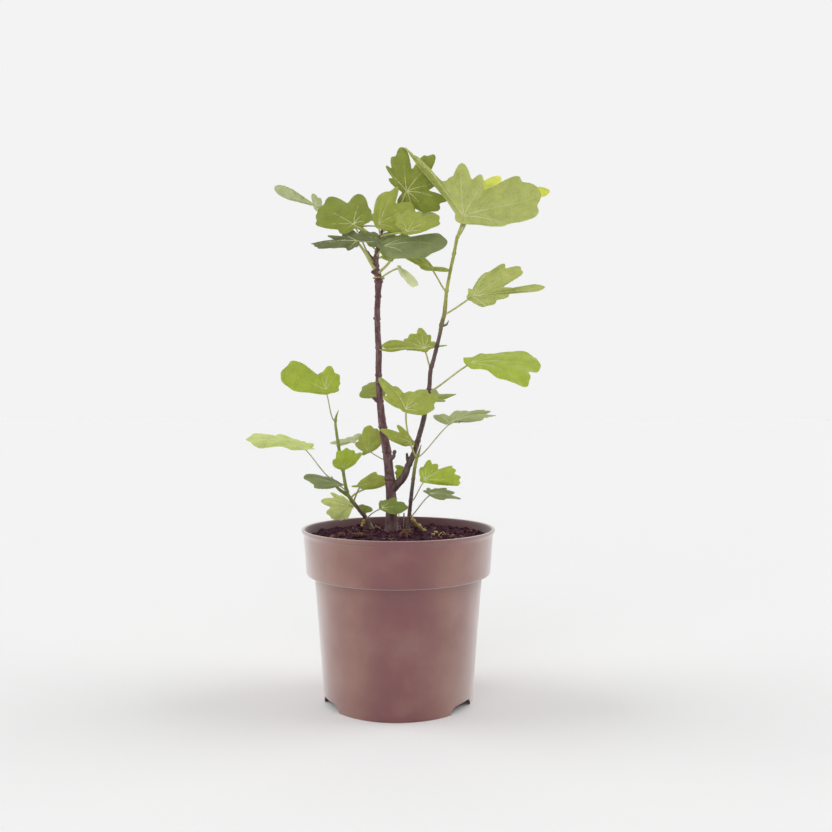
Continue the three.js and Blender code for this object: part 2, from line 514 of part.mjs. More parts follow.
// The blade: an upper and a lower sheet, a leaf's thickness apart, joined round the margin.
function bladeSolid(leaf, frame) {
  const angles = marginAngles(leaf, frame);
  const count = angles.length;
  const middle = [frame.joint.clone()];
  LEAF_RINGS.forEach((share) => angles.forEach((angle) => {
    middle.push(bladePoint(leaf, frame, angle, share));
  }));
  const upper = [];
  for (let point = 0; point < count; point += 1) {
    const next = (point + 1) % count;
    upper.push([0, 1 + point, 1 + next]);
    for (let ring = 1; ring < LEAF_RINGS.length; ring += 1) {
      const inner = 1 + (ring - 1) * count;
      const outer = inner + count;
      upper.push([inner + point, outer + point, outer + next]);
      upper.push([inner + point, outer + next, inner + next]);
    }
  }
  const sheet = closedGeometry(middle, upper);
  sheet.computeVertexNormals();
  const normals = sheet.attributes.normal;
  const offset = (way) => middle.map((point, index) => point.clone().addScaledVector(
    new THREE.Vector3().fromBufferAttribute(normals, index),
    (way * LEAF_THICKNESS) / 2,
  ));
  const total = middle.length;
  const lower = upper.map(([a, b, c]) => [a + total, c + total, b + total]);
  const rim = [];
  const edge = total - count;
  for (let point = 0; point < count; point += 1) {
    const a = edge + point;
    const b = edge + ((point + 1) % count);
    rim.push([a, a + total, b + total], [a, b + total, b]);
  }
  return toSolid(closedGeometry([...offset(1), ...offset(-1)], [...upper, ...lower, ...rim]));
}

// The petiole: from just clear of the limb, out and up, and on into the blade's base.
function petioleSolid(leaf, frame) {
  const limb = limbAtHeight(LIMBS[leaf.on], leaf.height);
  const out = frame.joint.clone().sub(limb.centre);
  out.addScaledVector(limb.tangent, -out.dot(limb.tangent)).normalize();
  const leaving = out.clone().addScaledVector(limb.tangent, PETIOLE_RISE).normalize();
  const clear = limb.radius + SEAT + PETIOLE_RADIUS * leaving.dot(limb.tangent);
  const foot = limb.centre.clone().addScaledVector(out, clear);
  const straight = frame.joint.clone().sub(foot);
  const span = straight.length();
  straight.normalize();
  const arriving = straight.clone().lerp(frame.along, PETIOLE_TURN).normalize();
  const end = frame.joint.clone().addScaledVector(frame.along, PETIOLE_RADIUS * 2);
  const curve = new THREE.CubicBezierCurve3(
    foot,
    foot.clone().addScaledVector(leaving, span * PETIOLE_BOW),
    frame.joint.clone().addScaledVector(arriving, -span * PETIOLE_BOW),
    end,
  );
  const points = [];
  for (let step = 0; step <= PETIOLE_STEPS; step += 1) {
    const { x, y, z } = curve.getPoint(step / PETIOLE_STEPS);
    points.push([x, y, z, PETIOLE_RADIUS]);
  }
  return tubeSolid(points, PETIOLE_SIDES, 1);
}

function leafSolid(leaf) {
  const frame = bladeFrame(leaf);
  return largestBody(bladeSolid(leaf, frame).add(petioleSolid(leaf, frame)));
}

// ---------------------------------------------------------------- pot and compost
const SHELF_HEIGHT = COLLAR_FOOT_HEIGHT - SHELF_RISE;
const CHANNEL_TOP = CHANNEL_HEIGHT + BASE_THICKNESS;
const bodyRadius = (height) => FOOT_RADIUS + ((BODY_TOP_RADIUS - FOOT_RADIUS) * height) / SHELF_HEIGHT;

function lathe(profile) {
  const points = profile.map(([radius, height]) => new THREE.Vector2(radius, height));
  const geometry = new THREE.LatheGeometry(points, POT_SEGMENTS);
  geometry.rotateX(Math.PI / 2);
  return geometry;
}

// The shell's section runs from the base's middle out and up the outside, and back down inside.
function potSolid() {
  const beadFoot = POT_HEIGHT - BEAD_HEIGHT;
  const shell = toSolid(lathe([
    [0, 0],
    [BASE_DISC_RADIUS, 0],
    [CHANNEL_INNER_RADIUS, CHANNEL_HEIGHT],
    [bodyRadius(CHANNEL_HEIGHT) - WALL, CHANNEL_HEIGHT],
    [FOOT_RADIUS - WALL, 0],
    [FOOT_RADIUS, 0],
    [BODY_TOP_RADIUS, SHELF_HEIGHT],
    [BODY_TOP_RADIUS + WALL, COLLAR_FOOT_HEIGHT],
    [COLLAR_FOOT_RADIUS - COLLAR_ROUND, COLLAR_FOOT_HEIGHT],
    [COLLAR_FOOT_RADIUS - COLLAR_ROUND * 0.3, COLLAR_FOOT_HEIGHT + COLLAR_ROUND * 0.3],
    [COLLAR_FOOT_RADIUS, COLLAR_FOOT_HEIGHT + COLLAR_ROUND],
    [COLLAR_TOP_RADIUS, beadFoot],
    [RIM_RADIUS - BEAD_ROUND, beadFoot],
    [RIM_RADIUS, beadFoot + BEAD_ROUND],
    [RIM_RADIUS, POT_HEIGHT - BEAD_ROUND],
    [RIM_RADIUS - BEAD_ROUND, POT_HEIGHT],
    [COLLAR_TOP_RADIUS - WALL + BEAD_ROUND, POT_HEIGHT],
    [COLLAR_TOP_RADIUS - WALL, POT_HEIGHT - BEAD_ROUND],
    [COLLAR_FOOT_RADIUS - WALL, COLLAR_FOOT_HEIGHT + WALL],
    [BODY_TOP_RADIUS, COLLAR_FOOT_HEIGHT + WALL],
    [BODY_TOP_RADIUS - WALL, SHELF_HEIGHT],
    [bodyRadius(CHANNEL_TOP) - WALL, CHANNEL_TOP],
    [CHANNEL_INNER_RADIUS - BASE_THICKNESS, CHANNEL_TOP],
    [BASE_DISC_RADIUS - BASE_THICKNESS, BASE_THICKNESS],
    [0, BASE_THICKNESS],
  ]));
  return Array.from({ length: NOTCH_COUNT }, (_, notch) => notch).reduce((pot, notch) => {
    const turn = radians(NOTCH_FIRST_ANGLE + (360 / NOTCH_COUNT) * notch);
    return pot.subtract(notchCutter(turn)).subtract(drainCutter(turn));
  }, shell);
}

// A drainage notch in the foot: an arch with sloping sides, cut through the wall outwards.
function notchCutter(turn) {
  const half = NOTCH_WIDTH / 2;
  const shoulder = half - NOTCH_SHOULDER / 4;
  const arch = new THREE.Shape();
  arch.moveTo(-half, -1);
  arch.lineTo(half, -1);
  arch.lineTo(half, 0);
  arch.quadraticCurveTo(shoulder, NOTCH_HEIGHT, half - NOTCH_SHOULDER, NOTCH_HEIGHT);
  arch.lineTo(-half + NOTCH_SHOULDER, NOTCH_HEIGHT);
  arch.quadraticCurveTo(-shoulder, NOTCH_HEIGHT, -half, 0);
  const through = { depth: 2 * NOTCH_DEPTH, bevelEnabled: false, curveSegments: 4 };
  const cutter = new THREE.ExtrudeGeometry(arch, through);
  cutter.rotateX(Math.PI / 2);
  cutter.rotateZ(Math.PI / 2);
  cutter.translate(FOOT_RADIUS - NOTCH_DEPTH, 0, 0);
  cutter.rotateZ(turn);
  return toSolid(cutter);
}

function drainCutter(turn) {
  const cutter = new THREE.CylinderGeometry(DRAIN_RADIUS, DRAIN_RADIUS, 3 * BASE_THICKNESS, DRAIN_SEGMENTS);
  cutter.rotateX(Math.PI / 2);
  cutter.translate(DRAIN_CIRCLE_RADIUS, 0, CHANNEL_HEIGHT + BASE_THICKNESS / 2);
  cutter.rotateZ(turn);
  return toSolid(cutter);
}

// The compost's lumps: a few crossed waves, level where the stems stand.
function lump(x, y) {
  const past = (Math.hypot(x, y) - SOIL_FLAT_RADIUS) / SOIL_SPREAD;
  const spread = smooth(Math.min(1, Math.max(0, past)));
  const wave = Math.sin(x * 0.19 + 1) * Math.cos(y * 0.23) + 0.6 * Math.sin(x * 0.41 - y * 0.37);
  return spread * (SOIL_LUMP * wave - SOIL_EDGE_DROP);
}

// The compost follows the shell's inside, a seat's gap away from it.
function soilGeometry() {
  const inset = WALL + SEAT;
  const collarSlope = (COLLAR_TOP_RADIUS - COLLAR_FOOT_RADIUS) / (POT_HEIGHT - COLLAR_FOOT_HEIGHT);
  const collarRise = SOIL_LEVEL - 2 * SOIL_EDGE_DROP - COLLAR_FOOT_HEIGHT;
  const edge = COLLAR_FOOT_RADIUS - inset + collarSlope * collarRise;
  const geometry = lathe([
    [0, BASE_THICKNESS + SEAT],
    [BASE_DISC_RADIUS - BASE_THICKNESS - SEAT, BASE_THICKNESS + SEAT],
    [CHANNEL_INNER_RADIUS - BASE_THICKNESS - SEAT, CHANNEL_TOP + SEAT],
    [bodyRadius(CHANNEL_TOP + SEAT) - inset, CHANNEL_TOP + SEAT],
    [BODY_TOP_RADIUS - inset, SHELF_HEIGHT],
    [BODY_TOP_RADIUS - SEAT, COLLAR_FOOT_HEIGHT + inset],
    [COLLAR_FOOT_RADIUS - inset, COLLAR_FOOT_HEIGHT + inset],
    ...[edge, ...SOIL_SURFACE_RADII].map((radius) => [radius, SOIL_LEVEL]),
  ]);
  const places = geometry.attributes.position;
  for (let point = 0; point < places.count; point += 1) {
    if (places.getZ(point) > SOIL_LEVEL - 0.01) {
      places.setZ(point, SOIL_LEVEL + lump(places.getX(point), places.getY(point)));
    }
  }
  return toGeometry(toSolid(geometry));
}

// ---------------------------------------------------------------- assembly
const LIMBS = {
  trunk: TRUNK,
  second_stem: SECOND_STEM,
  right_shoot: RIGHT_SHOOT,
  left_shoot: LEFT_SHOOT,
  left_fork: LEFT_FORK,
};

const plant = new THREE.Group();

function addPiece(name, geometry, colour, roughness) {
  const material = new THREE.MeshStandardMaterial({ color: COLOURS[colour], roughness, metalness: 0 });
  const mesh = new THREE.Mesh(geometry, material);
  mesh.name = name;
  plant.add(mesh);
}

const bare = (points) => tubeSolid(points, LIMB_SIDES.trunk, 1, SEAT);
const offTrunk = (solid) => largestBody(solid.subtract(bare(TRUNK)));

addPiece('pot', toGeometry(potSolid()), 'pot', 0.55);
addPiece('soil', soilGeometry(), 'soil', 0.95);
addPiece('trunk', toGeometry(limbSolid(TRUNK, LIMB_SIDES.trunk, TRUNK_STUBS, true)), 'bark', 0.85);
addPiece('trunk_fork_twig', toGeometry(offTrunk(limbSolid(FORK_TWIG, LIMB_SIDES.stub))), 'bark', 0.85);
addPiece('second_stem', toGeometry(
  offTrunk(limbSolid(SECOND_STEM, LIMB_SIDES.second_stem, SECOND_STEM_STUBS)),
), 'bark', 0.85);
addPiece('right_shoot', toGeometry(limbSolid(RIGHT_SHOOT, LIMB_SIDES.shoot, [], true)), 'green_wood', 0.7);
addPiece('left_shoot', toGeometry(limbSolid(LEFT_SHOOT, LIMB_SIDES.shoot, [], true)), 'green_wood', 0.7);
addPiece('left_fork', toGeometry(largestBody(
  limbSolid(LEFT_FORK, LIMB_SIDES.shoot).subtract(tubeSolid(LEFT_SHOOT, LIMB_SIDES.shoot, 1, SEAT)),
)), 'green_wood', 0.7);
LEAVES.forEach((leaf) => addPiece(`leaf_${leaf.name}`, toGeometry(leafSolid(leaf)), leaf.tint, 0.6));

export default plant;
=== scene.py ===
# %% [markdown] # A young fig tree in its nursery pot The tree already exists as plain solids:
# a thin plastic pot, the compost in it, a woody trunk with a second stem, two green shoots and
# 37 leaves. This lesson dresses them, and adds three leaves too small to have solids, the
# veins and what lies on the compost. Each step makes one kind of piece in fine mesh, in the
# place where its solid stands, and gives it a finish.

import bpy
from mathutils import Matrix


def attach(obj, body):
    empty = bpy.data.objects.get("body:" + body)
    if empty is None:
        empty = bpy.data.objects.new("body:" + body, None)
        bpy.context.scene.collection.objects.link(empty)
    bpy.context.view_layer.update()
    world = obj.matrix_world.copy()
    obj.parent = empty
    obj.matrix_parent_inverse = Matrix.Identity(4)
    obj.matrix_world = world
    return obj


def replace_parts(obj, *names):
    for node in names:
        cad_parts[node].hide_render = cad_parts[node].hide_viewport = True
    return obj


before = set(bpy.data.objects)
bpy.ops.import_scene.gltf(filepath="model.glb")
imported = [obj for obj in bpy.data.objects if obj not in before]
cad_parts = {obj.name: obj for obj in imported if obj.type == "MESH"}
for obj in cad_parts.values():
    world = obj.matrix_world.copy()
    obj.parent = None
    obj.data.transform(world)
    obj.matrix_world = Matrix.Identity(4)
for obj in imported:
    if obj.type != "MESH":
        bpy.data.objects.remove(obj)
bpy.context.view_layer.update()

import math

import bmesh
import bpy
import numpy as np
from mathutils import Vector, noise

MM = 0.001  # lengths below are in millimetres, and Blender's are in metres

# %% [markdown]
# ## Camera
# The tree is looked at from straight in front, at about the height of its middle, from
# 84 centimetres away. A level camera keeps the stems upright in the picture. The lens is
# worked out from the picture's width and how many pixels a metre at one metre's distance takes.

# %% Place the camera
PICTURE_SIDE = 832
PICTURE_MIDDLE = PICTURE_SIDE / 2
PIXELS_PER_UNIT = 850  # pixels that one millimetre takes, times its distance in millimetres
EYE = (17.2, -839, 277)  # from the middle of the pot's underside


def put_in_scene(name, data):
    """An object that shows the data, in the scene."""
    made = bpy.data.objects.new(name, data)
    bpy.context.scene.collection.objects.link(made)
    return made


camera = put_in_scene("camera", bpy.data.cameras.new("camera"))
camera.data.lens = camera.data.sensor_width * PIXELS_PER_UNIT / PICTURE_SIDE
camera.location = [value * MM for value in EYE]
camera.rotation_euler = (math.radians(90), 0, 0)
bpy.context.scene.camera = camera
print("lens in millimetres:", round(camera.data.lens, 2))

# %% [markdown]
# ## Studio
# The tree stands on a white sheet, and the sheet runs into a white background with no edge.
# Wide lamps at both sides, one above and one in front, all very soft, throw a pale shadow to
# each side of the pot. One way to get the white behind is a lit backdrop, but it would send
# its own light on everything. Here a huge white dome is seen and mirrored but lights nothing,
# and the sheet's white is chosen so that far from the pot it looks just as bright.

# %% Hang the lamps
BACKGROUND = 0.896
FILL = 0.34  # light from all round the room
LAMPS = {  # turn from the camera's side, height, spread, all in degrees; light on a level sheet
    "left_lamp": (-98, 36, 44, 0.2),
    "right_lamp": (98, 36, 44, 0.2),
    "top_lamp": (180, 66, 60, 0.13),
    "front_lamp": (-14, 24, 60, 0.09),
}

world = bpy.data.worlds.new("room_light")
world.use_nodes = True
world.node_tree.nodes["Background"].inputs["Color"].default_value = (FILL, FILL, FILL, 1)
bpy.context.scene.world = world
bpy.context.scene.view_settings.view_transform = "Standard"

for name, (turn, height, spread, share) in LAMPS.items():
    lamp = put_in_scene(name, bpy.data.lights.new(name, "SUN"))
    lamp.data.angle = math.radians(spread)
    lamp.data.energy = share * math.pi / math.sin(math.radians(height))
    lamp.rotation_euler = (math.radians(90 - height), 0, math.radians(turn))
print("lamps:", ", ".join(LAMPS))

# %% Lay the sheet and raise the dome
FLOOR_HALF, DOME_RADIUS = 60, 78  # metres
SHEET_WHITE = BACKGROUND / (FILL + sum(lamp[3] for lamp in LAMPS.values()))


def grey(level):
    return (level, level, level, 1)


def new_finish(name, roughness, **sockets):
    """A material and its main shader. Names of sockets are written with _ for spaces."""
    material = bpy.data.materials.new(name)
    material.use_nodes = True
    shader = material.node_tree.nodes["Principled BSDF"]
    shader.inputs["Roughness"].default_value = roughness
    for socket, value in sockets.items():
        shader.inputs[socket.replace("_", " ")].default_value = value
    return material, shader


def ball_form(subdivisions, radius):
    """Points and faces of a round ball."""
    ball = bmesh.new()
    bmesh.ops.create_icosphere(ball, subdivisions=subdivisions, radius=radius)
    points = [tuple(vertex.co) for vertex in ball.verts]
    faces = [[vertex.index for vertex in face.verts] for face in ball.faces]
    ball.free()
    return points, faces


def stage_piece(name, corners, faces, colour, glow):
    """A piece of the studio in a plain grey, lit or glowing by itself."""
    mesh = bpy.data.meshes.new(name)
    mesh.from_pydata(corners, [], faces)
    piece = put_in_scene(name, mesh)
    material, _ = new_finish(name, 1, Base_Color=grey(colour), Specular_IOR_Level=0,
                             Emission_Color=grey(glow), Emission_Strength=1)
    mesh.materials.append(material)
    return piece


sheet_corners = [(x * FLOOR_HALF, y * FLOOR_HALF, 0) for x, y in ((-1, -1), (1, -1), (1, 1), (-1, 1))]
stage_piece("white_sheet", sheet_corners, [(0, 1, 2, 3)], SHEET_WHITE, 0)
dome = stage_piece("white_dome", *ball_form(3, DOME_RADIUS), 0, BACKGROUND)
for seen_by in ("visible_diffuse", "visible_transmission", "visible_volume_scatter", "visible_shadow"):
    setattr(dome, seen_by, False)
print("sheet white:", round(SHEET_WHITE, 3))

# %% [markdown]
# ## Tools for making pieces
# Everything on the tree is made from a few kinds of form: tubes for stems, stalks, veins and
# roots, and sheets for leaves. Blender could make them as curves and modifiers, one object
# each. Here points and faces are worked out in plain arrays, collected in a heap and turned
# into one mesh per kind of piece, which is quick and keeps the scene tidy.

# %% Collect forms in a heap
def unit(arrow):
    return arrow / np.linalg.norm(arrow)


class Heap:
    """Points and faces of many small forms, on their way to becoming one piece."""

    def __init__(self):
        self.points, self.faces, self.looks, self.count = [], [], [], 0

    def add(self, points, faces, looks=None):
        for part, look in zip(faces, looks or [0] * len(faces)):
            self.faces.extend((part + self.count).tolist())
            self.looks.extend([look] * len(part))
        self.points.append(points)
        self.count += len(points)

    def mesh(self, name):
        mesh = bpy.data.meshes.new(name)
        mesh.from_pydata((np.vstack(self.points) * MM).tolist(), [], self.faces)
        return mesh


print("unit arrow along (3, 4, 0):", unit(np.array([3, 4, 0])))


# %% Turn a mesh into a piece
def new_piece(name, heap, materials, crease=None):
    """One object from a heap. An edge that folds by more than crease degrees stays sharp."""
    mesh = heap.mesh(name)
    for material in materials:
        mesh.materials.append(material)
    mesh.polygons.foreach_set("material_index", heap.looks)
    return finish_piece(name, mesh, crease)


def finish_piece(name, mesh, crease=None):
    mesh.validate()
    mesh.polygons.foreach_set("use_smooth", [True] * len(mesh.polygons))
    if crease:
        mesh.set_sharp_from_angle(angle=math.radians(crease))
    mesh.update()
    piece = put_in_scene(name, mesh)
    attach(piece, "root")
    triangles = sum(len(face.vertices) - 2 for face in mesh.polygons)
    print(f"{name}: {triangles} triangles")
    return piece


def with_modifiers(made):
    """The mesh that an object's modifiers make of it."""
    bpy.context.view_layer.update()
    return bpy.data.meshes.new_from_object(made.evaluated_get(bpy.context.evaluated_depsgraph_get()))


# %% Draw a tube
def skin_faces(rings, sides):
    """Faces over a first point, rings of points and a last point."""
    a = np.arange(sides)
    b = (a + 1) % sides
    walls = [1 + ring * sides + np.column_stack([a, b, b + sides, a + sides]) for ring in range(rings - 1)]
    last = 1 + rings * sides
    foot = np.column_stack([np.zeros(sides, int), 1 + b, 1 + a])
    tip = np.column_stack([np.full(sides, last), last - sides + a, last - sides + b])
    return [np.vstack(walls), foot, tip]


def tube(centres, radii, sides):
    """A closed tapering tube through the centres."""
    centres = np.asarray(centres, float)
    ways = np.gradient(centres, axis=0)
    ways /= np.linalg.norm(ways, axis=1)[:, None]
    side = np.cross(ways[0], (0, 0, 1) if abs(ways[0][2]) < 0.9 else (1, 0, 0))
    turns = np.arange(sides) * 2 * math.pi / sides
    rings = [centres[:1]]
    for centre, way, radius in zip(centres, ways, radii):
        side = unit(side - way * side.dot(way))
        across = np.cross(way, side)
        rings.append(centre + radius * (np.outer(np.cos(turns), side) + np.outer(np.sin(turns), across)))
    rings.append(centres[-1:])
    return np.vstack(rings), skin_faces(len(centres), sides)


print("faces of a six-sided tube with ten rings:", sum(len(part) for part in skin_faces(10, 6)))

# %% [markdown]
# ## Tools for finishes
# A finish is a small network of nodes. A plain colour looks like paint, so every finish
# mixes two or three shades by a noise pattern that is fixed to the piece, and lets a finer
# noise raise the surface a little. The same few helpers serve all of them.

# %% Add and join nodes
def link(output, socket):
    """Leads a node's output into a socket."""
    socket.id_data.links.new(output, socket)


def add_node(material, kind, inputs, **settings):
    """A node of this kind. Each of its inputs gets a value or another node's output."""
    node = material.node_tree.nodes.new("ShaderNode" + kind)
    for setting, value in settings.items():
        setattr(node, setting, value)
    for socket, value in inputs.items():
        if isinstance(value, bpy.types.NodeSocket):
            link(value, node.inputs[socket])
        else:
            node.inputs[socket].default_value = value
    return node


def place_on(material):
    """Where a spot lies on its object, in metres."""
    return add_node(material, "TexCoord", {}).outputs["Object"]


print("kinds of shader node to choose from:", sum(kind.startswith("ShaderNode") for kind in dir(bpy.types)))


# %% Make patterns
def noise_pattern(material, size, detail=3, stretch=(1, 1, 1)):
    """A soft random pattern whose blots are about size millimetres across."""
    stretched = add_node(material, "Mapping", {"Vector": place_on(material), "Scale": stretch})
    sockets = {"Vector": stretched.outputs["Vector"], "Scale": 1 / (size * MM), "Detail": detail}
    return add_node(material, "TexNoise", sockets).outputs["Fac"]


def cell_pattern(material, size, feature="F1"):
    """Distance to the middle, or with DISTANCE_TO_EDGE to the edge, of cells size millimetres wide."""
    sockets = {"Vector": place_on(material), "Scale": 1 / (size * MM)}
    return add_node(material, "TexVoronoi", sockets, feature=feature).outputs["Distance"]


def ranged(material, value, before, after=(0, 1), way="LINEAR"):
    """The value brought from one range to another, and held at its ends."""
    ends = dict(zip(("From Min", "From Max", "To Min", "To Max"), (*before, *after)))
    return add_node(material, "MapRange", {"Value": value, **ends}, interpolation_type=way).outputs["Result"]


print("scale of a pattern with blots of 4 millimetres:", round(1 / (4 * MM)))


# %% Colour and raise a surface
def linear(red, green, blue):
    """A colour as a picture stores it, 0 to 255, as the linear light that shaders count in."""
    return tuple(((c / 255 + 0.055) / 1.055) ** 2.4 if c > 10 else c / 3295 for c in (red, green, blue))


def shades(material, factor, colours, places):
    """The colours, dealt out by the factor at these places from 0 to 1."""
    ramp = add_node(material, "ValToRGB", {"Fac": factor})
    steps = ramp.color_ramp.elements
    while len(steps) < len(colours):
        steps.new(0.5)
    for step, colour, place in zip(steps, colours, places):
        step.position = place
        step.color = linear(*colour) + (1,)
    return ramp.outputs["Color"]


def blend(material, share, *pair):
    """A pair of colours, each given as numbers or as an output, mixed by a share."""
    first, second = [linear(*colour) + (1,) if isinstance(colour, tuple) else colour for colour in pair]
    return add_node(material, "Mix", {0: share, 6: first, 7: second}, data_type="RGBA").outputs[2]


def raise_surface(material, shader, patterns, height):
    """Lets patterns, each with its share, raise the surface by up to height millimetres."""
    normal = None
    for pattern, share in patterns:
        bump = add_node(material, "Bump", {"Height": pattern, "Strength": 1, "Distance": height * share * MM})
        if normal:
            link(normal, bump.inputs["Normal"])
        normal = bump.outputs["Normal"]
    link(normal, shader.inputs["Normal"])


def mottled(name, roughness, colours, places, blots, grain, height, **sockets):
    """A mottled finish with a fine grain. blots and grain say how to make their patterns."""
    material, shader = new_finish(name, roughness, **sockets)
    tone = shades(material, noise_pattern(material, *blots), colours, places)
    link(tone, shader.inputs["Base Color"])
    raise_surface(material, shader, [(noise_pattern(material, *grain), 1)], height)
    return material


print("middle grey as linear light:", round(linear(128, 128, 128)[0], 3))

# %% [markdown]
# ## The limbs' course
# The trunk, the second stem and the two shoots follow smooth lines through measured points,
# each with its own thickness. A Blender curve could hold them, but the leaf stalks have to
# find their place on a limb by its height, so the line is worked out here.

# %% List the limbs' points
SOIL_LEVEL = 161.5
SEAT = 0.3  # the gap that the solids leave between touching parts
FOOT_LEVEL = SOIL_LEVEL + SEAT

# A point is [x, y, z, radius]. Stubs and the fork twig are short side twigs without leaves.
TRUNK = [
    [-7.6, 18, FOOT_LEVEL, 8.0], [-7.7, 17.8, FOOT_LEVEL + 6, 6.2], [-7.3, 17, 187, 5.6],
    [-8.6, 17, 205, 5.0], [-11.3, 15, 235, 4.5], [-16.0, 13, 266, 4.1], [-18.9, 12, 293, 3.5],
    [-20.2, 11, 319, 3.1], [-20.0, 10, 342, 3.1], [-21.5, 9, 373, 3.0], [-20.6, 8, 400, 3.0],
    [-20.1, 8, 411, 4.1], [-20.3, 8, 415, 3.6], [-22.6, 8, 424, 3.4], [-23.2, 8, 431, 3.1],
    [-20.9, 7, 442, 2.2], [-18.8, 6, 452, 1.8], [-15.6, 5, 465, 1.1],
]
TRUNK_STUBS = [
    [[-19, 12, 290, 2.6], [-23, 11, 293.5, 1.6], [-26.5, 10, 295.5, 1.2]],
    [[-10.5, 14, 232, 2.4], [-5.6, 11, 236, 1.9], [-4.0, 10, 243, 1.4]],
    [[-22.6, 8, 419, 2.6], [-27.5, 7, 421, 1.4]],
    [[-20.4, 9, 374, 2.2], [-25, 8.5, 375, 1.1]],
]
FORK_TWIG = [
    [-23.2, 8, 431, 1.8], [-28, 9, 436, 1.6], [-33, 10, 442, 1.3],
]
SECOND_STEM = [
    [-6.5, 16.5, 203, 4.4], [-0.8, 15, 209.5, 4.2], [5.0, 13, 216, 3.8], [9.8, 11, 228, 3.3],
    [15.4, 10, 240.5, 2.9], [20.0, 9, 256, 2.6], [24.6, 8, 273, 2.5], [30.3, 6, 305, 2.3],
    [31.8, 5, 322.5, 2.2], [35.2, 4, 335, 2.1], [40.6, 2, 357.5, 2.0], [42.6, 1, 368, 2.2],
    [45.0, 0, 377, 2.1], [47.4, -2, 400, 1.8], [51.0, -4, 420, 1.7], [54.6, -6, 436.5, 1.8],
    [57.0, -8, 449, 1.6], [61.6, -9, 463, 1.4],
]
SECOND_STEM_STUBS = [
    [[10.4, 11, 228, 2.2], [8.6, 10, 234, 1.6], [8.0, 9, 240, 1.1]],
    [[42, 1, 366, 1.2], [46.4, -1.5, 366.4, 0.9], [49.5, -3, 371, 0.7]],
    [[61, -9, 461, 1.3], [64.6, -6.6, 465.5, 1.4], [67.8, -5.2, 471, 0.5]],
]
RIGHT_SHOOT = [
    [8.8, 4, FOOT_LEVEL, 3.2], [9.4, 4, FOOT_LEVEL + 5, 2.3], [10.3, 4, 176, 2.1], [13.1, 2, 203, 1.9],
    [16.9, 0, 231, 1.8], [19.4, 0, 239, 1.5], [22.5, -1, 249, 0.5],
]
LEFT_SHOOT = [
    [-28.8, 30, FOOT_LEVEL, 3.4], [-31, 29.5, FOOT_LEVEL + 5, 2.6], [-34, 28.6, 173, 2.2],
    [-42.8, 26, 184.5, 2.0], [-50.6, 23.5, 195, 1.9], [-53.4, 22, 203, 1.8], [-57.0, 19, 225.5, 1.7],
    [-61.5, 17, 251, 1.6], [-63.6, 15, 273.5, 1.4], [-60.5, 14, 283, 0.5],
]
LEFT_FORK = [
    [-50.6, 23.5, 195, 1.7], [-62.8, 22, 205, 1.5], [-68.2, 20, 216.5, 0.5],
]
LIMBS = {"trunk": TRUNK, "second_stem": SECOND_STEM, "right_shoot": RIGHT_SHOOT,
         "left_shoot": LEFT_SHOOT, "left_fork": LEFT_FORK}
print("points on each limb:", {name: len(table) for name, table in LIMBS.items()})

# %% Follow a limb
def limb_at(table, share):
    """Centre and radius at a share of a limb's points, on a smooth line through them all."""
    rows = np.asarray(table, float)
    last = len(rows) - 1
    step = min(int(share * last), last - 1)
    t = share * last - step
    before = rows[step - 1] if step > 0 else 2 * rows[0] - rows[1]
    after = rows[step + 2] if step + 2 <= last else 2 * rows[last] - rows[last - 1]
    p0, p1, p2, p3 = before[:3], rows[step][:3], rows[step + 1][:3], after[:3]
    d0, d1, d2 = (math.sqrt(np.linalg.norm(b - a)) for a, b in ((p0, p1), (p1, p2), (p2, p3)))
    leave = ((p1 - p0) / d0 - (p2 - p0) / (d0 + d1) + (p2 - p1) / d1) * d1
    arrive = ((p2 - p1) / d1 - (p3 - p1) / (d1 + d2) + (p3 - p2) / d2) * d1
    centre = (p1 + leave * t + (3 * (p2 - p1) - 2 * leave - arrive) * t * t
              + (2 * (p1 - p2) + leave + arrive) * t ** 3)
    return centre, rows[step][3] * (1 - t) + rows[step + 1][3] * t


def limb_line(table, spacing):
    """Centres and radii along a limb, about spacing apart."""
    rows = np.asarray(table, float)
    length = np.linalg.norm(np.diff(rows[:, :3], axis=0), axis=1).sum()
    steps = max(4, round(length / spacing))
    found = [limb_at(table, step / steps) for step in range(steps + 1)]
    return np.array([centre for centre, _ in found]), np.array([radius for _, radius in found])


def limb_at_height(table, height):
    """Centre, way and radius of a limb at a height. Every limb rises all the way."""
    low, high = 0.0, 1.0
    for _ in range(24):
        middle = (low + high) / 2
        low, high = (middle, high) if limb_at(table, middle)[0][2] < height else (low, middle)
    centre, radius = limb_at(table, low)
    way = limb_at(table, min(1, low + 1e-3))[0] - limb_at(table, max(0, low - 1e-3))[0]
    return centre, unit(way), radius


print("trunk at 300 mm:", limb_at_height(TRUNK, 300))

# %% [markdown]
# ## Leaf outlines
# A fig leaf is a hand with three to five rounded fingers. Each lobe here is an ellipse that
# starts near the joint, where the stalk meets the blade, and the outline is the furthest of
# them all, blended a little so that the notches between lobes stay rounded. Drawing each
# outline by hand would also work, but this rule needs only a few numbers for a leaf. The
# table has a row for each leaf, under the limb that it grows on.

# %% Set up the leaf table
LEAF_COLUMNS = ("name", "height", "joint", "tip", "faces", "tint", "outline")
FIVE_LOBES = [[-118, 0.5, 0.6], [-58, 0.84, 0.56], [0, 1, 0.58], [58, 0.84, 0.56], [118, 0.5, 0.6]]
OVAL_LEAF = [[-120, 0.4, 0.8], [-50, 0.6, 0.8], [0, 1, 0.6], [50, 0.6, 0.8], [120, 0.4, 0.8]]
# A lobe is [angle from the midrib, reach, width, start]: degrees to the left seen from above,
# a share of the blade's length, a share of the reach, and where its ellipse starts. The height
# is where on its limb a leaf grows, and faces is the way that its upper side looks.
LEAVES = []


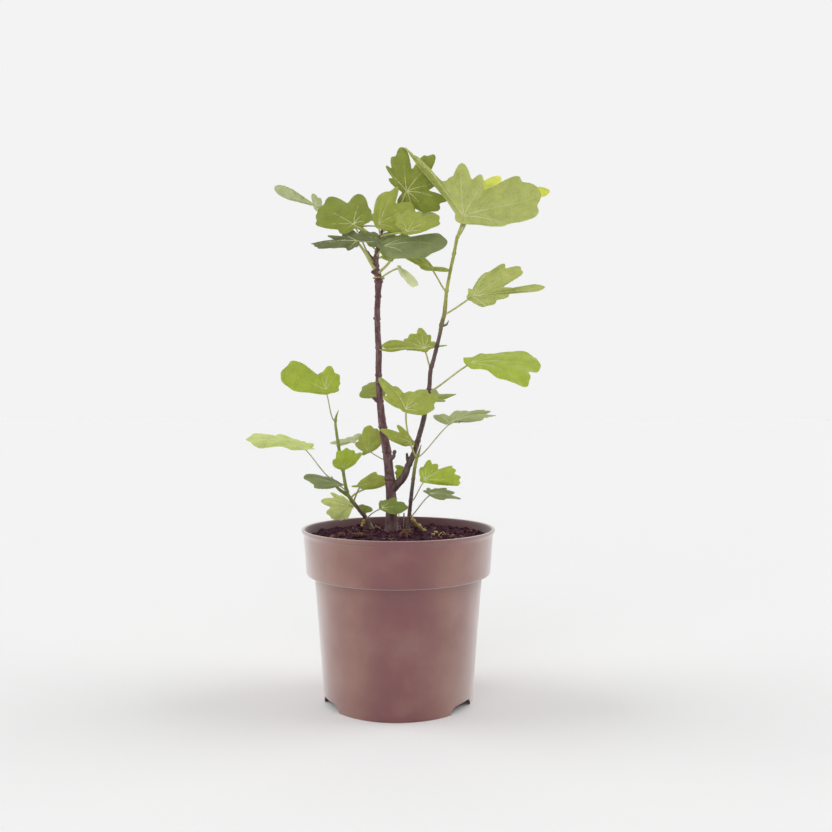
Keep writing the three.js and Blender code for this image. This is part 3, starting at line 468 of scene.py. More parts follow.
def add_leaves(limb, rows, young=False):
    """Adds a limb's leaves to the table. The young ones are too small to have solids."""
    LEAVES.extend(dict(zip(LEAF_COLUMNS, row), on=limb, young=young) for row in rows)
    print(f"leaves on the {limb}: {len(rows)}, in all: {len(LEAVES)}")


# %% List the leaves of the trunk
add_leaves("trunk", [
    ("crown_far_left", 442, [-83, 28, 490], [-127.5, 24, 509.5], [-0.35, 0.8, 0.5], "pale",
     [[0, 0.66, 0.05], [0, 1, 0.24, 0.42], [48, 0.3, 0.5], [82, 0.2, 0.6]]),
    ("crown_left_front", 430, [-43.5, -8, 464.5], [-80.5, -14, 468], [0.1, -1, 0.3], "olive",
     [[-156, 0.5, 0.4], [-130, 0.64, 0.5], [-98, 0.91, 0.6], [-40, 0.98, 0.6], [-18, 1, 0.45],
      [-4, 1, 0.4], [9, 1, 0.3], [40, 0.47, 0.6], [150, 0.4, 0.25]]),
    # Its shade tint is painted shade, darker than the leaf's own green.
    ("crown_left_low", 424, [-40, -14, 447], [-85.5, -8, 445.5], [0, -1, 0.8], "shade",
     [[-113, 0.28, 0.5], [-59, 0.38, 0.5], [-38, 0.45, 0.4], [-13, 0.67, 0.25], [2, 1, 0.1, 0.3],
      [7, 0.93, 0.15], [13, 0.85, 0.2], [24, 0.56, 0.35], [56, 0.33, 0.5], [96, 0.22, 0.5],
      [171, 0.54, 0.3]]),
    ("crown_right_low", 437, [-14, -7, 443.5], [46.5, -24, 442], [0, -1, 0.9], "grey",
     [[-47, 0.5, 0.4], [-36, 0.61, 0.5], [-23, 0.8, 0.4], [-10, 0.93, 0.4], [-3, 0.97, 0.4],
      [4, 0.97, 0.3], [12, 0.85, 0.22], [22, 0.57, 0.3], [60, 0.18, 0.5]]),
    ("crown_mid_left", 457, [-19.5, 0, 466], [-10.5, 2, 499], [0, -1, 0.2], "fresh",
     [[-90, 0.74, 0.35], [-61, 1.08, 0.4], [-45, 1.15, 0.5], [-11, 1.23, 0.25], [0, 1, 0.5],
      [13, 0.82, 0.35]]),
    ("crown_mid_low", 455, [8.5, -29, 452.5], [40, -22, 465], [0, -1, 0.6], "fresh",
     [[-20, 0.58, 0.3], [-6, 0.97, 0.3], [8, 1.08, 0.4], [40, 0.84, 0.4], [62, 0.78, 0.5],
      [86, 0.7, 0.4], [112, 0.45, 0.4]]),
    ("crown_top", 464, [8, 10, 501], [4, 2, 542], [-0.1, -1, 0.15], "olive",
     [[-178, 0.7, 0.4], [-140, 0.68, 0.4], [-123, 0.9, 0.4], [-107, 1, 0.25], [-76, 0.82, 0.35],
      [-44, 1.08, 0.3], [-33, 0.93, 0.25], [-2, 0.98, 0.3], [4, 1, 0.3], [18, 0.88, 0.3],
      [34, 0.79, 0.14, 0.3], [49, 0.53, 0.3], [136, 0.36, 0.4]]),
    ("crown_back_high", 460, [1, 34, 476], [4, 78, 503], [0, 0, 1], "olive", FIVE_LOBES),
    ("crown_back_left", 450, [-40, 46, 474], [-54, 81, 482], [0, 0, 1], "olive", FIVE_LOBES),
    ("crown_back_low", 434, [3, 38, 452], [28, 76, 459], [0, 0, 1], "grey", FIVE_LOBES),
    # Its hanging tint is painted light, lighter than the leaf's own green, as it hangs away from the lamps.
    ("ring_hanging", 414, [0.5, -4, 423], [19, -8, 404], [0.5, -0.8, 0.3], "hanging",
     [[-30, 0.5, 0.3], [-12, 1, 0.3, 0.3], [0, 0.5, 0.2], [1, 1, 0.3, 0.2]]),
    ("ring_curl", 419, [-7, -6, 429.5], [-18.5, -14, 431], [0, -1, 0.5], "fresh",
     [[-111, 0.72, 0.5], [-77, 1.05, 0.5], [-40, 1.04, 0.5], [0, 1, 0.3]]),
    ("trunk_back", 293, [-16.5, 26, 298.5], [-40.5, 34, 299.5], [0, -0.8, 0.6], "olive",
     [[-54, 0.87, 0.4], [-39, 0.97, 0.4], [-21, 1.06, 0.5], [0, 1, 0.4], [8, 0.94, 0.25]]),
    ("trunk_left", 233, [-31.5, 24, 242], [-29.5, 30, 267.5], [0, -1, 0.4], "fresh",
     [[-55, 0.58, 0.4], [-36, 0.8, 0.5], [-18, 0.94, 0.4], [0, 1, 0.4], [11, 0.92, 0.4],
      [35, 0.65, 0.5], [64, 0.58, 0.5], [132, 0.3, 0.5]]),
])

# %% List the leaves of the second stem
add_leaves("second_stem", [
    ("second_top", 463, [63.5, -12, 471.5], [62, -4, 526], [0, 0.9, 0.3], "sage",
     [[-37, 1.68, 0.05], [-35, 1.4, 0.08], [-32, 1.07, 0.08], [-28, 0.75, 0.3], [-17, 0.76, 0.3],
      [0, 1.01, 0.35], [23, 0.86, 0.3], [31, 0.69, 0.3], [55, 1.24, 0.22], [68, 1.37, 0.4],
      [76, 1.41, 0.35], [87, 1.32, 0.25], [92, 1.2, 0.2], [101, 0.8, 0.2], [106, 0.7, 0.15]]),
    # Its lime tint is painted light: partly painted backlight, and lighter still where the leaf in front
    # shades it.
    ("second_top_behind", 452, [78.5, 14, 488.5], [152, 20, 505], [0, -1, 0.4], "lime",
     [[-60, 0.25, 0.5], [-3, 0.9, 0.1, 0.4], [0, 1, 0.12, 0.5], [1, 0.72, 0.14], [43, 0.59, 0.35],
      [62, 0.36, 0.4], [110, 0.22, 0.5]]),
    ("second_left", 400, [33, 8, 424], [4.5, 2, 435], [0, -1, 0.6], "fresh",
     [[-162, 0.62, 0.35], [-24, 0.62, 0.4], [-12, 0.93, 0.3], [2, 1, 0.2, 0.1], [20, 0.42, 0.5]]),
    ("second_right_upper", 378, [72, -14, 393], [118, -22, 420], [0.3, 1, 0.5], "sage",
     [[-84, 0.16, 0.5], [-28, 0.5, 0.3], [-14, 0.82, 0.25], [0, 1.01, 0.25], [6, 0.98, 0.15],
      [22, 0.79, 0.2], [24, 1.1, 0.045], [24, 1.3, 0.1, 0.72], [31, 0.66, 0.25], [47, 0.45, 0.4],
      [66, 0.3, 0.5], [101, 0.14, 0.5]]),
    ("second_right_bright", 302, [71, -10, 329], [135.5, -20, 325], [0, -0.55, 0.85], "bright",
     [[-34, 1.04, 0.22, 0.2], [-26, 1, 0.3], [-10, 0.99, 0.4], [0, 1.02, 0.4], [12, 0.96, 0.4],
      [21, 0.84, 0.3], [30, 0.7, 0.22], [60, 0.3, 0.5], [152, 0.14, 0.5]]),
    ("second_mid", 326, [26, 10, 344], [-20, -2, 341], [0, -0.8, 0.6], "fresh",
     [[-172, 0.52, 0.2], [-147, 0.33, 0.35], [-117, 0.43, 0.3], [-93, 0.61, 0.4], [-62, 0.5, 0.5],
      [-37, 0.5, 0.5], [-14, 0.82, 0.25], [-9, 0.92, 0.18], [0, 1, 0.08, 0.5]]),
    ("second_back", 281, [28, 40, 294], [28, 82, 306], [0, 0, 1], "olive", FIVE_LOBES),
    ("second_front", 241, [12.5, 1, 250.5], [-18, -9, 264], [0, -1, 0.4], "fresh",
     [[-30, 0.66, 0.3], [0, 1, 0.25], [12, 0.74, 0.3], [31, 0.3, 0.5]]),
    ("second_foot", 227, [8, 26, 221], [-4.5, 30, 218.5], [0, -1, 0.3], "bright",
     [[-31, 1.08, 0.4], [0, 1, 0.5], [23, 1.04, 0.4]]),
])

# %% List the leaves of the right shoot
add_leaves("right_shoot", [
    ("right_front", 236, [7, -21, 283.5], [40, -29, 292.5], [0, -1, 0.6], "fresh",
     [[-30, 0.59, 0.3], [-16, 0.87, 0.4], [5, 0.97, 0.45], [28, 0.81, 0.4], [44, 0.67, 0.5],
      [70, 0.58, 0.6], [106, 0.84, 0.35], [118, 1.42, 0.2], [136, 0.84, 0.2]]),
    ("right_top", 237, [49, -20, 269.5], [95, -24, 276.5], [0, -0.5, 1], "silver",
     [[-60, 0.14, 0.5], [0, 1.02, 0.08, 0.4], [14, 0.95, 0.15], [24, 0.87, 0.25], [46, 0.62, 0.4],
      [66, 0.52, 0.4], [106, 0.54, 0.35], [122, 0.58, 0.4]]),
    ("right_bright", 193, [25, -8, 214], [61, -16, 215], [0, -1, 0.6], "bright",
     [[-10, 0.97, 0.12], [-5, 1.02, 0.2], [4, 1.02, 0.25], [18, 0.92, 0.3], [29, 0.86, 0.25],
      [55, 0.6, 0.4], [80, 0.63, 0.4], [106, 0.44, 0.4]]),
    ("right_dark", 177, [31, -20, 202], [60.5, -26, 197], [0, -0.5, 1], "grey",
     [[-22, 0.57, 0.4], [0, 1, 0.3], [24, 0.8, 0.35], [48, 0.64, 0.4], [71, 0.4, 0.4],
      [118, 0.33, 0.5], [175, 0.25, 0.5]]),
])

# %% List the leaves of the left shoot and its fork
add_leaves("left_shoot", [
    ("left_top", 272, [-72.5, 8, 303], [-116.5, 4, 319.5], [0, -1, 0.35], "bright",
     [[-160, 0.28, 0.5], [-131, 0.34, 0.5], [-108, 0.45, 0.5], [-79, 0.54, 0.5], [-53, 0.4, 0.5],
      [-19, 0.95, 0.3], [-9, 0.95, 0.4], [0, 1, 0.35], [9, 0.94, 0.3], [20, 0.72, 0.25]]),
    ("left_strip", 247, [-48, 38, 251], [-71.5, 36, 248.5], [0, -0.3, 1], "silver",
     [[-113, 0.96, 0.35], [-71, 0.66, 0.5], [-30, 0.8, 0.4], [0, 1, 0.5], [38, 0.73, 0.5],
      [100, 0.4, 0.5]]),
    ("left_two_lobed", 221, [-55, 12, 225], [-51.5, 10, 245.5], [0, -1, 0.3], "bright",
     [[-54, 0.66, 0.3], [-40, 1.15, 0.3], [-20, 1, 0.4], [0, 1, 0.5], [27, 0.9, 0.5],
      [63, 0.66, 0.5], [79, 0.57, 0.5]]),
    ("left_inner", 190, [-39, 16, 206.5], [-14.5, 28, 214], [0, -1, 0.5], "fresh",
     [[-16, 0.93, 0.3], [0, 1, 0.5], [21, 0.85, 0.25], [166, 0.33, 0.3]]),
    ("left_grey", 201, [-58.5, 2, 208.5], [-92, -12, 216.5], [0, -0.5, 1], "grey",
     [[-59, 0.37, 0.5], [-43, 0.5, 0.5], [-9, 0.93, 0.35], [0, 1, 0.4], [14, 0.9, 0.4],
      [28, 0.9, 0.25]]),
    # Its young tint is painted light, lighter than the leaf's own green, as it faces away from the lamps.
    ("left_hanging", 185, [-50, 34, 184.5], [-80, 26, 190.5], [0, -0.9, 0.5], "young",
     [[-41, 0.48, 0.3], [-26, 0.8, 0.25], [0, 1, 0.35], [27, 0.88, 0.35], [42, 0.82, 0.4],
      [60, 0.62, 0.4], [78, 0.5, 0.25]]),
    ("left_small", 177, [-43, 38, 182], [-27.5, 42, 179.5], [0, -1, 0.5], "olive",
     [[-60, 0.38, 0.5], [-27, 0.64, 0.5], [0, 1, 0.5], [33, 0.5, 0.5]]),
    ("front_base", 172, [-16, -12, 187.5], [10, -18, 188], [0, -0.8, 0.8], "deep",
     [[-26, 0.56, 0.4], [-13, 0.84, 0.4], [0, 1, 0.4], [15, 0.84, 0.4], [43, 0.68, 0.4],
      [77, 0.4, 0.5], [106, 0.4, 0.5]]),
    ("left_back", 193, [-21, 50, 206], [-12, 80, 211], [0, 0, 1], "olive", FIVE_LOBES),
])
add_leaves("left_fork", [
    ("left_far", 214, [-94, 12, 244.5], [-151, 6, 252.5], [0, -0.34, 1], "soft",
     [[-127, 0.22, 0.5], [-60, 0.44, 0.4], [-38, 0.67, 0.35], [-18, 0.93, 0.3], [-9, 0.98, 0.4],
      [0, 1, 0.4], [8, 0.94, 0.3], [15, 0.86, 0.12, 0.5], [174, 0.18, 0.5]]),
])

# %% List the young leaves at the trunk's tip
add_leaves("trunk", [
    ("tip_young_left", 446, [-20.5, 2, 449], [-40, -2, 457.5], [0, -0.8, 0.6], "grey", OVAL_LEAF),
    ("tip_young_middle", 449, [-13, 12, 452.5], [-3, 13, 464.5], [-0.3, -1, 0.3], "grey", OVAL_LEAF),
    ("tip_young_right", 445, [-3, 15, 449], [9, 15, 460.5], [0.2, -1, 0.4], "fresh", OVAL_LEAF),
], young=True)

# %% [markdown]
# ## The outline rule
# Seen from the joint, each lobe's ellipse reaches a known distance in each direction. A plain
# maximum of these distances would leave sharp notches. Here they are raised to a high power,
# added up, and brought back by the root, which is nearly the maximum but rounds the notches.

# %% Work out an outline
LOBE_BLEND = 9
LEAF_HEART = 0.09  # least reach in any direction, as a share of the blade's length
LOBE_START = -0.1


def lobe_reach(reach, width, start, off):
    half = reach * (1 - start) / 2
    centre = reach - half
    across = reach * width / 2
    a = (np.cos(off) / half) ** 2 + (np.sin(off) / across) ** 2
    b = centre * np.cos(off) / half ** 2
    c = (centre / half) ** 2 - 1
    room = b * b - a * c
    met = (room >= 0) & ~((b < 0) & (c > 0))
    return np.where(met, (b + np.sqrt(np.maximum(room, 0))) / a, 0)


def outline_reach(outline, angles):
    """How far the outline reaches at angles in degrees, as a share of the blade's length."""
    total = np.full(np.shape(angles), LEAF_HEART ** LOBE_BLEND)
    for at, reach, width, *start in outline:
        off = np.radians(angles - at)
        total = total + lobe_reach(reach, width, start[0] if start else LOBE_START, off) ** LOBE_BLEND
    return total ** (1 / LOBE_BLEND)


def blade_edge(leaf, angles):
    """How far the margin is from the joint, in millimetres."""
    return leaf["length"] * outline_reach(leaf["outline"], angles)


print("reach of five lobes, each 60 degrees:", outline_reach(FIVE_LOBES, np.arange(0, 181, 60)).round(2))

# %% [markdown]
# ## Veins
# A fig leaf's main veins part at the joint and run one to each lobe, and side veins leave
# them at about half a right angle and bend forward. On the real leaf they are pale ribs, most
# raised on the under side. They also shape the blade: it folds up a little on both sides
# of a main vein and puffs up between the side veins. So the veins come first, as lines on
# the flat blade, and the blade's surface is worked out from them.

# %% Draw the main veins
VEIN_APART = 24  # least angle between two main veins, in degrees
VEIN_REACH = 0.3  # least reach of a lobe that has its own main vein
VEIN_LEAST = 8  # least length of a main vein
VEIN_ENDS = 0.94  # share of the way to the margin that a main vein runs
VEIN_SWING = 0.16  # share of its angle that a vein turns through on its way from the joint
VEIN_BOW = 5  # most that a main vein bows to one side, in degrees


def on_rays(far, degrees):
    """Flat spots that lie this far from the joint, on rays at angles from the midrib."""
    return np.column_stack([far * np.cos(np.radians(degrees)), far * np.sin(np.radians(degrees))])


def main_veins(leaf, rng):
    """One line of flat spots from the joint into each true lobe."""
    taken, lines = [], []
    share = np.linspace(0, 1, 15)
    for at, reach, *_ in sorted(leaf["outline"], key=lambda lobe: -lobe[1]):
        apart = all(abs((at - other + 180) % 360 - 180) >= VEIN_APART for other in taken)
        if apart and reach * leaf["length"] > VEIN_LEAST and reach >= VEIN_REACH:
            taken.append(at)
            bow = rng.uniform(-VEIN_BOW, VEIN_BOW) * np.sin(share * math.pi)
            far = blade_edge(leaf, np.array([float(at)]))[0] * VEIN_ENDS * share
            lines.append(on_rays(far, at * (1 - VEIN_SWING * (1 - share) ** 2) + bow))
    return lines


print("spot 30 mm out on a ray at 60 degrees:", on_rays(30, np.array([60])).round(1))


# %% Draw the side veins
SIDE_ANGLE, SIDE_STRAY = 46, 5  # between a side vein and its main vein, and how much that varies
SIDE_APART = 8  # from one pair of side veins to the next, in millimetres
SIDE_STEP, SIDE_STEPS = 1.6, 40
SIDE_BEND = 0.035  # forward bend at each step, in radians
SIDE_ENDS = 0.9  # share of the way to the margin


def distance_to(lines, spots):
    """Distance of each flat spot to the nearest of the lines."""
    starts = np.vstack([line[:-1] for line in lines])
    spans = np.vstack([line[1:] - line[:-1] for line in lines])
    past = spots[:, None, :] - starts[None]
    share = np.clip((past * spans).sum(2) / np.maximum((spans ** 2).sum(1), 1e-9), 0, 1)
    return np.sqrt(((past - share[..., None] * spans) ** 2).sum(2)).min(1)


def side_vein(leaf, main, others, share, hand, rng):
    """One line that leaves a main vein at a share of it, and ends near the margin or another's."""
    place = share * (len(main) - 1)
    whole = min(int(place), len(main) - 2)
    run = main[whole + 1] - main[whole]
    line = [main[whole] + run * (place - whole)]
    way = math.atan2(run[1], run[0]) + hand * math.radians(SIDE_ANGLE + rng.uniform(-SIDE_STRAY, SIDE_STRAY))
    for _ in range(SIDE_STEPS):
        way -= hand * SIDE_BEND
        spot = line[-1] + SIDE_STEP * np.array([math.cos(way), math.sin(way)])
        angle = np.degrees(np.arctan2(spot[1:], spot[:1]))
        if np.linalg.norm(spot) > SIDE_ENDS * blade_edge(leaf, angle)[0]:
            break
        if others and distance_to(others, spot[None])[0] < 0.8 * distance_to([main], spot[None])[0]:
            break
        line.append(spot)
    return np.array(line)


def side_veins(leaf, rng):
    """Lines that leave the main veins on both sides and stop short of the margin."""
    lines = []
    for main in leaf["mains"]:
        others = [line for line in leaf["mains"] if line is not main]
        count = max(2, round(np.linalg.norm(main[-1]) / SIDE_APART))
        for branch in range(1, count + 1):
            for hand in (-1, 1):
                share = (branch - 0.5 + 0.2 * hand) / (count + 0.4)
                lines.append(side_vein(leaf, main, others, share, hand, rng))
    return [line for line in lines if len(line) > 2]


print("from (3, 4) to a line along x:", distance_to([np.array([[0, 0], [9, 0]])], np.array([[3, 4]]))[0])


# %% Lay out the blades
LEAF_SEED = 11


def lay_out(leaf, index):
    """Adds to a leaf its blade's axes, its veins, its margin and its own random waves."""
    rng = np.random.RandomState(index + LEAF_SEED)
    joint, tip, up = (np.array(leaf[key], float) for key in ("joint", "tip", "faces"))
    along = tip - joint
    length = np.linalg.norm(along)
    along /= length
    up = unit(up - along * up.dot(along))
    leaf.update(index=index, joint=joint, along=along, left=np.cross(up, along), up=up, length=length)
    leaf["mains"] = main_veins(leaf, rng)
    leaf["sides"] = side_veins(leaf, rng)
    leaf["phases"] = rng.uniform(0, 2 * math.pi, 3)
    leaf["degrees"] = np.arange(-180.0, 181.0)
    margin = on_rays(blade_edge(leaf, leaf["degrees"]), leaf["degrees"])
    leaf["walked"] = np.concatenate([[0], np.cumsum(np.linalg.norm(np.diff(margin, axis=0), axis=1))])


for index, leaf in enumerate(LEAVES):
    lay_out(leaf, index)
print("main veins:", sum(len(leaf["mains"]) for leaf in LEAVES))
print("side veins:", sum(len(leaf["sides"]) for leaf in LEAVES))

# %% [markdown]
# ## The blade's surface
# A flat spot of the blade becomes a place in space in two moves. First the whole blade lifts
# from its joint and bends back down towards its margin, as the solid leaf does. Then the relief
# is added: the folds along the main veins, the puffing between the side veins and the slow
# wave of the margin. Cloth simulation could also make waves, but they would move the leaf.

# %% Shape the surface
BLADE_LIFT, BLADE_CURL = 16, -32  # how far a blade lifts from its joint and bends back, in degrees
STEEP_LIFT, STEEP_CURL = 26, -52
STEEP_LEAVES = ("right_top", "right_bright")
FOLD_RISE, FOLD_WIDTH = 0.032, 0.12  # both as a share of the blade's length
PUFF_DEPTH, PUFF_WIDTH = 0.55, 2.0
WAVE_LENGTH, WAVE_HEIGHT = 34, 0.022  # the height is a share of the blade's length
PLAIN_HEART = 3  # how far from the joint the relief has its full height


def relief(leaf, flat, angles, share):
    """How far the folds, the puffing and the waves raise flat spots."""
    length, margin = leaf["length"], leaf["walked"][-1]
    fold = FOLD_RISE * length * (1 - np.exp(-distance_to(leaf["mains"], flat) / (FOLD_WIDTH * length)))
    puff = 0
    if leaf["sides"]:
        puff = -PUFF_DEPTH * np.exp(-(distance_to(leaf["sides"], flat) / PUFF_WIDTH) ** 2)
    walk = np.interp(angles, leaf["degrees"], leaf["walked"]) / margin * 2 * math.pi
    waves = round(margin / WAVE_LENGTH)
    first, second, third = leaf["phases"]
    wave = np.sin(waves * walk + first) + 0.7 * np.sin((waves // 2 + 1) * walk + second)
    wave = wave + 0.2 * np.sin(2 * waves * walk + third)
    return fold + puff * np.clip(1.15 - share, 0, 1) + WAVE_HEIGHT * length * share ** 3 * wave


def surface(leaf, flat):
    """Places in space of flat spots, on the sheet in the middle of the blade's thickness."""
    angles = np.degrees(np.arctan2(flat[:, 1], flat[:, 0]))
    far = np.hypot(flat[:, 0], flat[:, 1])
    share = np.minimum(far / blade_edge(leaf, angles), 1)
    steep = leaf["name"] in STEEP_LEAVES
    half = np.radians((STEEP_CURL if steep else BLADE_CURL) * share) / 2
    rise = np.radians(STEEP_LIFT if steep else BLADE_LIFT) + half
    chord = far * np.sinc(half / math.pi)
    level = on_rays(chord * np.cos(rise), angles)
    raised = chord * np.sin(rise) + relief(leaf, flat, angles, share) * np.clip(far / PLAIN_HEART, 0, 1)
    return (leaf["joint"] + np.outer(level[:, 0], leaf["along"]) + np.outer(level[:, 1], leaf["left"])
            + np.outer(raised, leaf["up"]))


print("tip of the far left leaf:", surface(LEAVES[0], np.array([[LEAVES[0]["length"], 0]])).round(1))

# %% [markdown]
# ## Blades as meshes
# Each blade is two sheets a third of a millimetre apart, joined round the margin, so that it
# has a true edge and an upper and an under side with finishes of their own. The points lie
# on rays from the joint, close together along the margin, where small rounded teeth are cut.
# A thin sheet with a solidify modifier would be quicker to write, but it can't give the two
# sides and the teeth their own shape.

# %% Cut the teeth
TOOTH_LENGTH, TOOTH_HEIGHT, TOOTH_NOTCH = 4.6, 0.2, 0.64


def teeth_on(leaf, edge, goals):
    """How far the teeth move each spot of the margin."""
    run = np.roll(edge, -1, axis=0) - np.roll(edge, 1, axis=0)
    outward = np.column_stack([run[:, 1], -run[:, 0]]) / np.linalg.norm(run, axis=1)[:, None]
    margin = leaf["walked"][-1]
    teeth = round(margin / TOOTH_LENGTH)
    wave = np.abs(np.sin(math.pi * teeth * goals / margin + leaf["index"])) - TOOTH_NOTCH
    strength = TOOTH_HEIGHT * (1 + 0.5 * np.sin(goals / 9 + leaf["index"]))
    return outward * (wave * strength)[:, None]


print("teeth on the first blade:", round(LEAVES[0]["walked"][-1] / TOOTH_LENGTH))

# %% Make a blade
SHEET_GAP = 0.36
MARGIN_STEP, RING_STEP = 1.5, 2.0
UPPER, UNDER = 0, 1


def sheet_normals(points, fan, bands):
    """The sheet's normal at each point, averaged over its faces."""
    normals = np.zeros_like(points)
    for faces in (fan, bands):
        first, second, third = (points[faces[:, corner]] for corner in range(3))
        facing = np.cross(second - first, third - first)
        for column in faces.T:
            np.add.at(normals, column, facing)
    return normals / np.maximum(np.linalg.norm(normals, axis=1), 1e-9)[:, None]


def blade_mesh(leaf):
    """Points of the two sheets, their faces, and which side each group of faces is on."""
    margin = leaf["walked"][-1]
    count = max(40, round(margin / MARGIN_STEP))
    goals = np.arange(count) * margin / count
    angles = np.interp(goals, leaf["walked"], leaf["degrees"])
    reach = blade_edge(leaf, angles)
    edge = on_rays(reach, angles)
    teeth = teeth_on(leaf, edge, goals)
    rings = max(8, round(reach.max() / RING_STEP))
    shares = np.arange(1, rings + 1) / rings
    ring_spots = [edge * share + teeth * share ** 6 for share in shares]
    middle = surface(leaf, np.vstack([np.zeros((1, 2)), *ring_spots]))
    a = np.arange(count)
    b = (a + 1) % count
    fan = np.column_stack([np.zeros(count, int), 1 + a, 1 + b])
    band = np.column_stack([1 + a, 1 + count + a, 1 + count + b, 1 + b])
    bands = np.vstack([band + ring * count for ring in range(rings - 1)])
    apart = sheet_normals(middle, fan, bands) * SHEET_GAP / 2
    total = len(middle)
    last = total - count
    rim = np.column_stack([last + a, total + last + a, total + last + b, last + b])
    faces = [fan, bands, fan[:, ::-1] + total, bands[:, ::-1] + total, rim]
    return np.vstack([middle + apart, middle - apart]), faces, [UPPER, UPPER, UNDER, UNDER, UNDER]


print("points in the first blade:", len(blade_mesh(LEAVES[0])[0]))

# %% [markdown]
# ## Leaf finishes
# Young fig leaves are matt and slightly hairy, let some light through, and run from a fresh
# yellow green to a grey green where the hairs catch the light. The under side is paler. Each
# tint is a plain colour with soft mottling, under a net of slightly paler lines for the finest
# veins, and is mixed with a share of light that shines through. Sheen gives the hairs' pale
# gleam at grazing angles. Some tints also hold painted light: the bright yellow greens are
# partly painted backlight, a few tints are painted lighter for leaves that lie in shade, and
# the shade tint is painted shade.

# %% Mix the leaf tints
LEAF_TINTS = {  # slot, upper side, under side
    # The leaf_bright tints are partly painted backlight: besides the leaves' own yellow green, their
    # brightness stands in for light shining through them. lime is painted lighter still, for a leaf that the
    # leaf in front of it shades.
    "lime": ("leaf_bright", (240, 246, 100), (236, 240, 120)),
    # young is painted light as well: the hanging leaf that wears it faces away from the lamps, and the tint
    # is made lighter to stand in for the light it misses.
    "young": ("leaf_bright", (236, 246, 156), (236, 246, 166)),
    "bright": ("leaf_bright", (182, 200, 62), (194, 208, 104)),
    "soft": ("leaf_bright", (214, 226, 134), (222, 230, 160)),
    "fresh": ("leaf_olive", (174, 184, 74), (186, 194, 112)),
    "olive": ("leaf_olive", (150, 162, 60), (170, 180, 106)),
    "deep": ("leaf_olive", (130, 146, 54), (168, 180, 108)),
    "grey": ("leaf_grey", (140, 152, 92), (168, 180, 112)),
    # shade is painted shade: darker than the leaf's own green, for a leaf that lies in shadow.
    "shade": ("leaf_grey", (118, 126, 76), (150, 160, 96)),
    "silver": ("leaf_grey", (188, 198, 136), (186, 198, 134)),
    "sage": ("leaf_pale", (176, 184, 96), (200, 208, 118)),
    "pale": ("leaf_pale", (196, 206, 148), (206, 214, 164)),
    # hanging is painted light: lighter than the leaf's own green, for a leaf that hangs away from the lamps.
    "hanging": ("leaf_pale", (240, 246, 196), (240, 246, 200)),
}
THROUGH = 0.22  # share of a leaf's light that shines through it
MOTTLE = 0.06  # how much darker and lighter the mottling goes
NET_MESH, NET_WIDTH, NET_LIGHT = 2.6, 0.1, 1.06  # the finest veins: mesh in millimetres, width, lighter by


def scaled(colour, factor):
    return tuple(min(255, channel * factor) for channel in colour)


def leaf_finish(name, colour, roughness):
    """Matt mottled green with its net of veins, and some light through it."""
    material, shader = new_finish(name, roughness, Sheen_Weight=0.18, Sheen_Roughness=0.45,
                                  Specular_IOR_Level=0.35)
    mottles = [scaled(colour, 1 - MOTTLE), colour, scaled(colour, 1 + MOTTLE)]
    tone = shades(material, noise_pattern(material, 9, 4), mottles, [0.32, 0.5, 0.68])
    cells = cell_pattern(material, NET_MESH, "DISTANCE_TO_EDGE")
    tone = blend(material, ranged(material, cells, (0, NET_WIDTH), (1, 0)), tone, scaled(colour, NET_LIGHT))
    link(tone, shader.inputs["Base Color"])
    raise_surface(material, shader, [(cells, 1), (noise_pattern(material, 1.2, 2), 0.5)], 0.25)
    through = add_node(material, "BsdfTranslucent", {"Color": tone}).outputs["BSDF"]
    both = add_node(material, "MixShader", {"Fac": THROUGH, 1: shader.outputs["BSDF"], 2: through})
    link(both.outputs["Shader"], material.node_tree.nodes["Material Output"].inputs["Surface"])
    return material


print("leaf tints:", ", ".join(LEAF_TINTS))

# %% [markdown]
# ## One piece for each tint
# Thirteen tints are enough for forty leaves, as neighbours on a shoot are of an age, and a few
# tints add painted light or shade for single leaves. The leaves of a tint are joined into one
# piece with two finishes, for the upper and the under sides. A piece for each leaf would also
# work, but the same finish would then be made many times.

# %% Make the blades, tint by tint
UPPER_ROUGHNESS, UNDER_ROUGHNESS = 0.6, 0.75
for tint, (slot, upper_colour, under_colour) in LEAF_TINTS.items():
    heap = Heap()
    members = [leaf for leaf in LEAVES if leaf["tint"] == tint]
    for leaf in members:
        heap.add(*blade_mesh(leaf))
    materials = [leaf_finish(f"fig_leaf_{tint}_upper", upper_colour, UPPER_ROUGHNESS),
                 leaf_finish(f"fig_leaf_{tint}_under", under_colour, UNDER_ROUGHNESS)]
    piece = new_piece(f"leaves_{tint}", heap, materials, crease=60)
    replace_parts(piece, *["leaf_" + leaf["name"] for leaf in members if not leaf["young"]])

# %% [markdown]
# ## Vein ribs
# The veins are real ribs here and not a drawing on the leaf: thin tapering tubes that are
# sunk into the blade, so they stand out of the under side and only just show on the upper one.

# %% Make the vein ribs
MAIN_RIB, SIDE_RIB = (0.55, 0.2), (0.24, 0.12)  # radius at the start and at the end
RIB_SINK = 0.12  # how far a rib's middle lies below the blade's, in shares of its radius
TWO_SHADES = [0.35, 0.65]

ribs = Heap()
for leaf in LEAVES:
    size = min(1.15, 0.45 + leaf["length"] / 75)  # a bigger leaf has thicker ribs
    for lines, (thick, thin), sides in ((leaf["mains"], MAIN_RIB, 6), (leaf["sides"], SIDE_RIB, 4)):
        for line in lines:
            radii = size * (thick + (thin - thick) * np.linspace(0, 1, len(line)))
            centres = surface(leaf, line) - leaf["up"] * (RIB_SINK * radii)[:, None]
            ribs.add(*tube(centres, radii, sides))
vein_pale = mottled("vein_pale", 0.6, [(206, 212, 138), (224, 226, 172)], TWO_SHADES, (12,), (0.8,), 0.1)
new_piece("leaf_veins", ribs, [vein_pale])

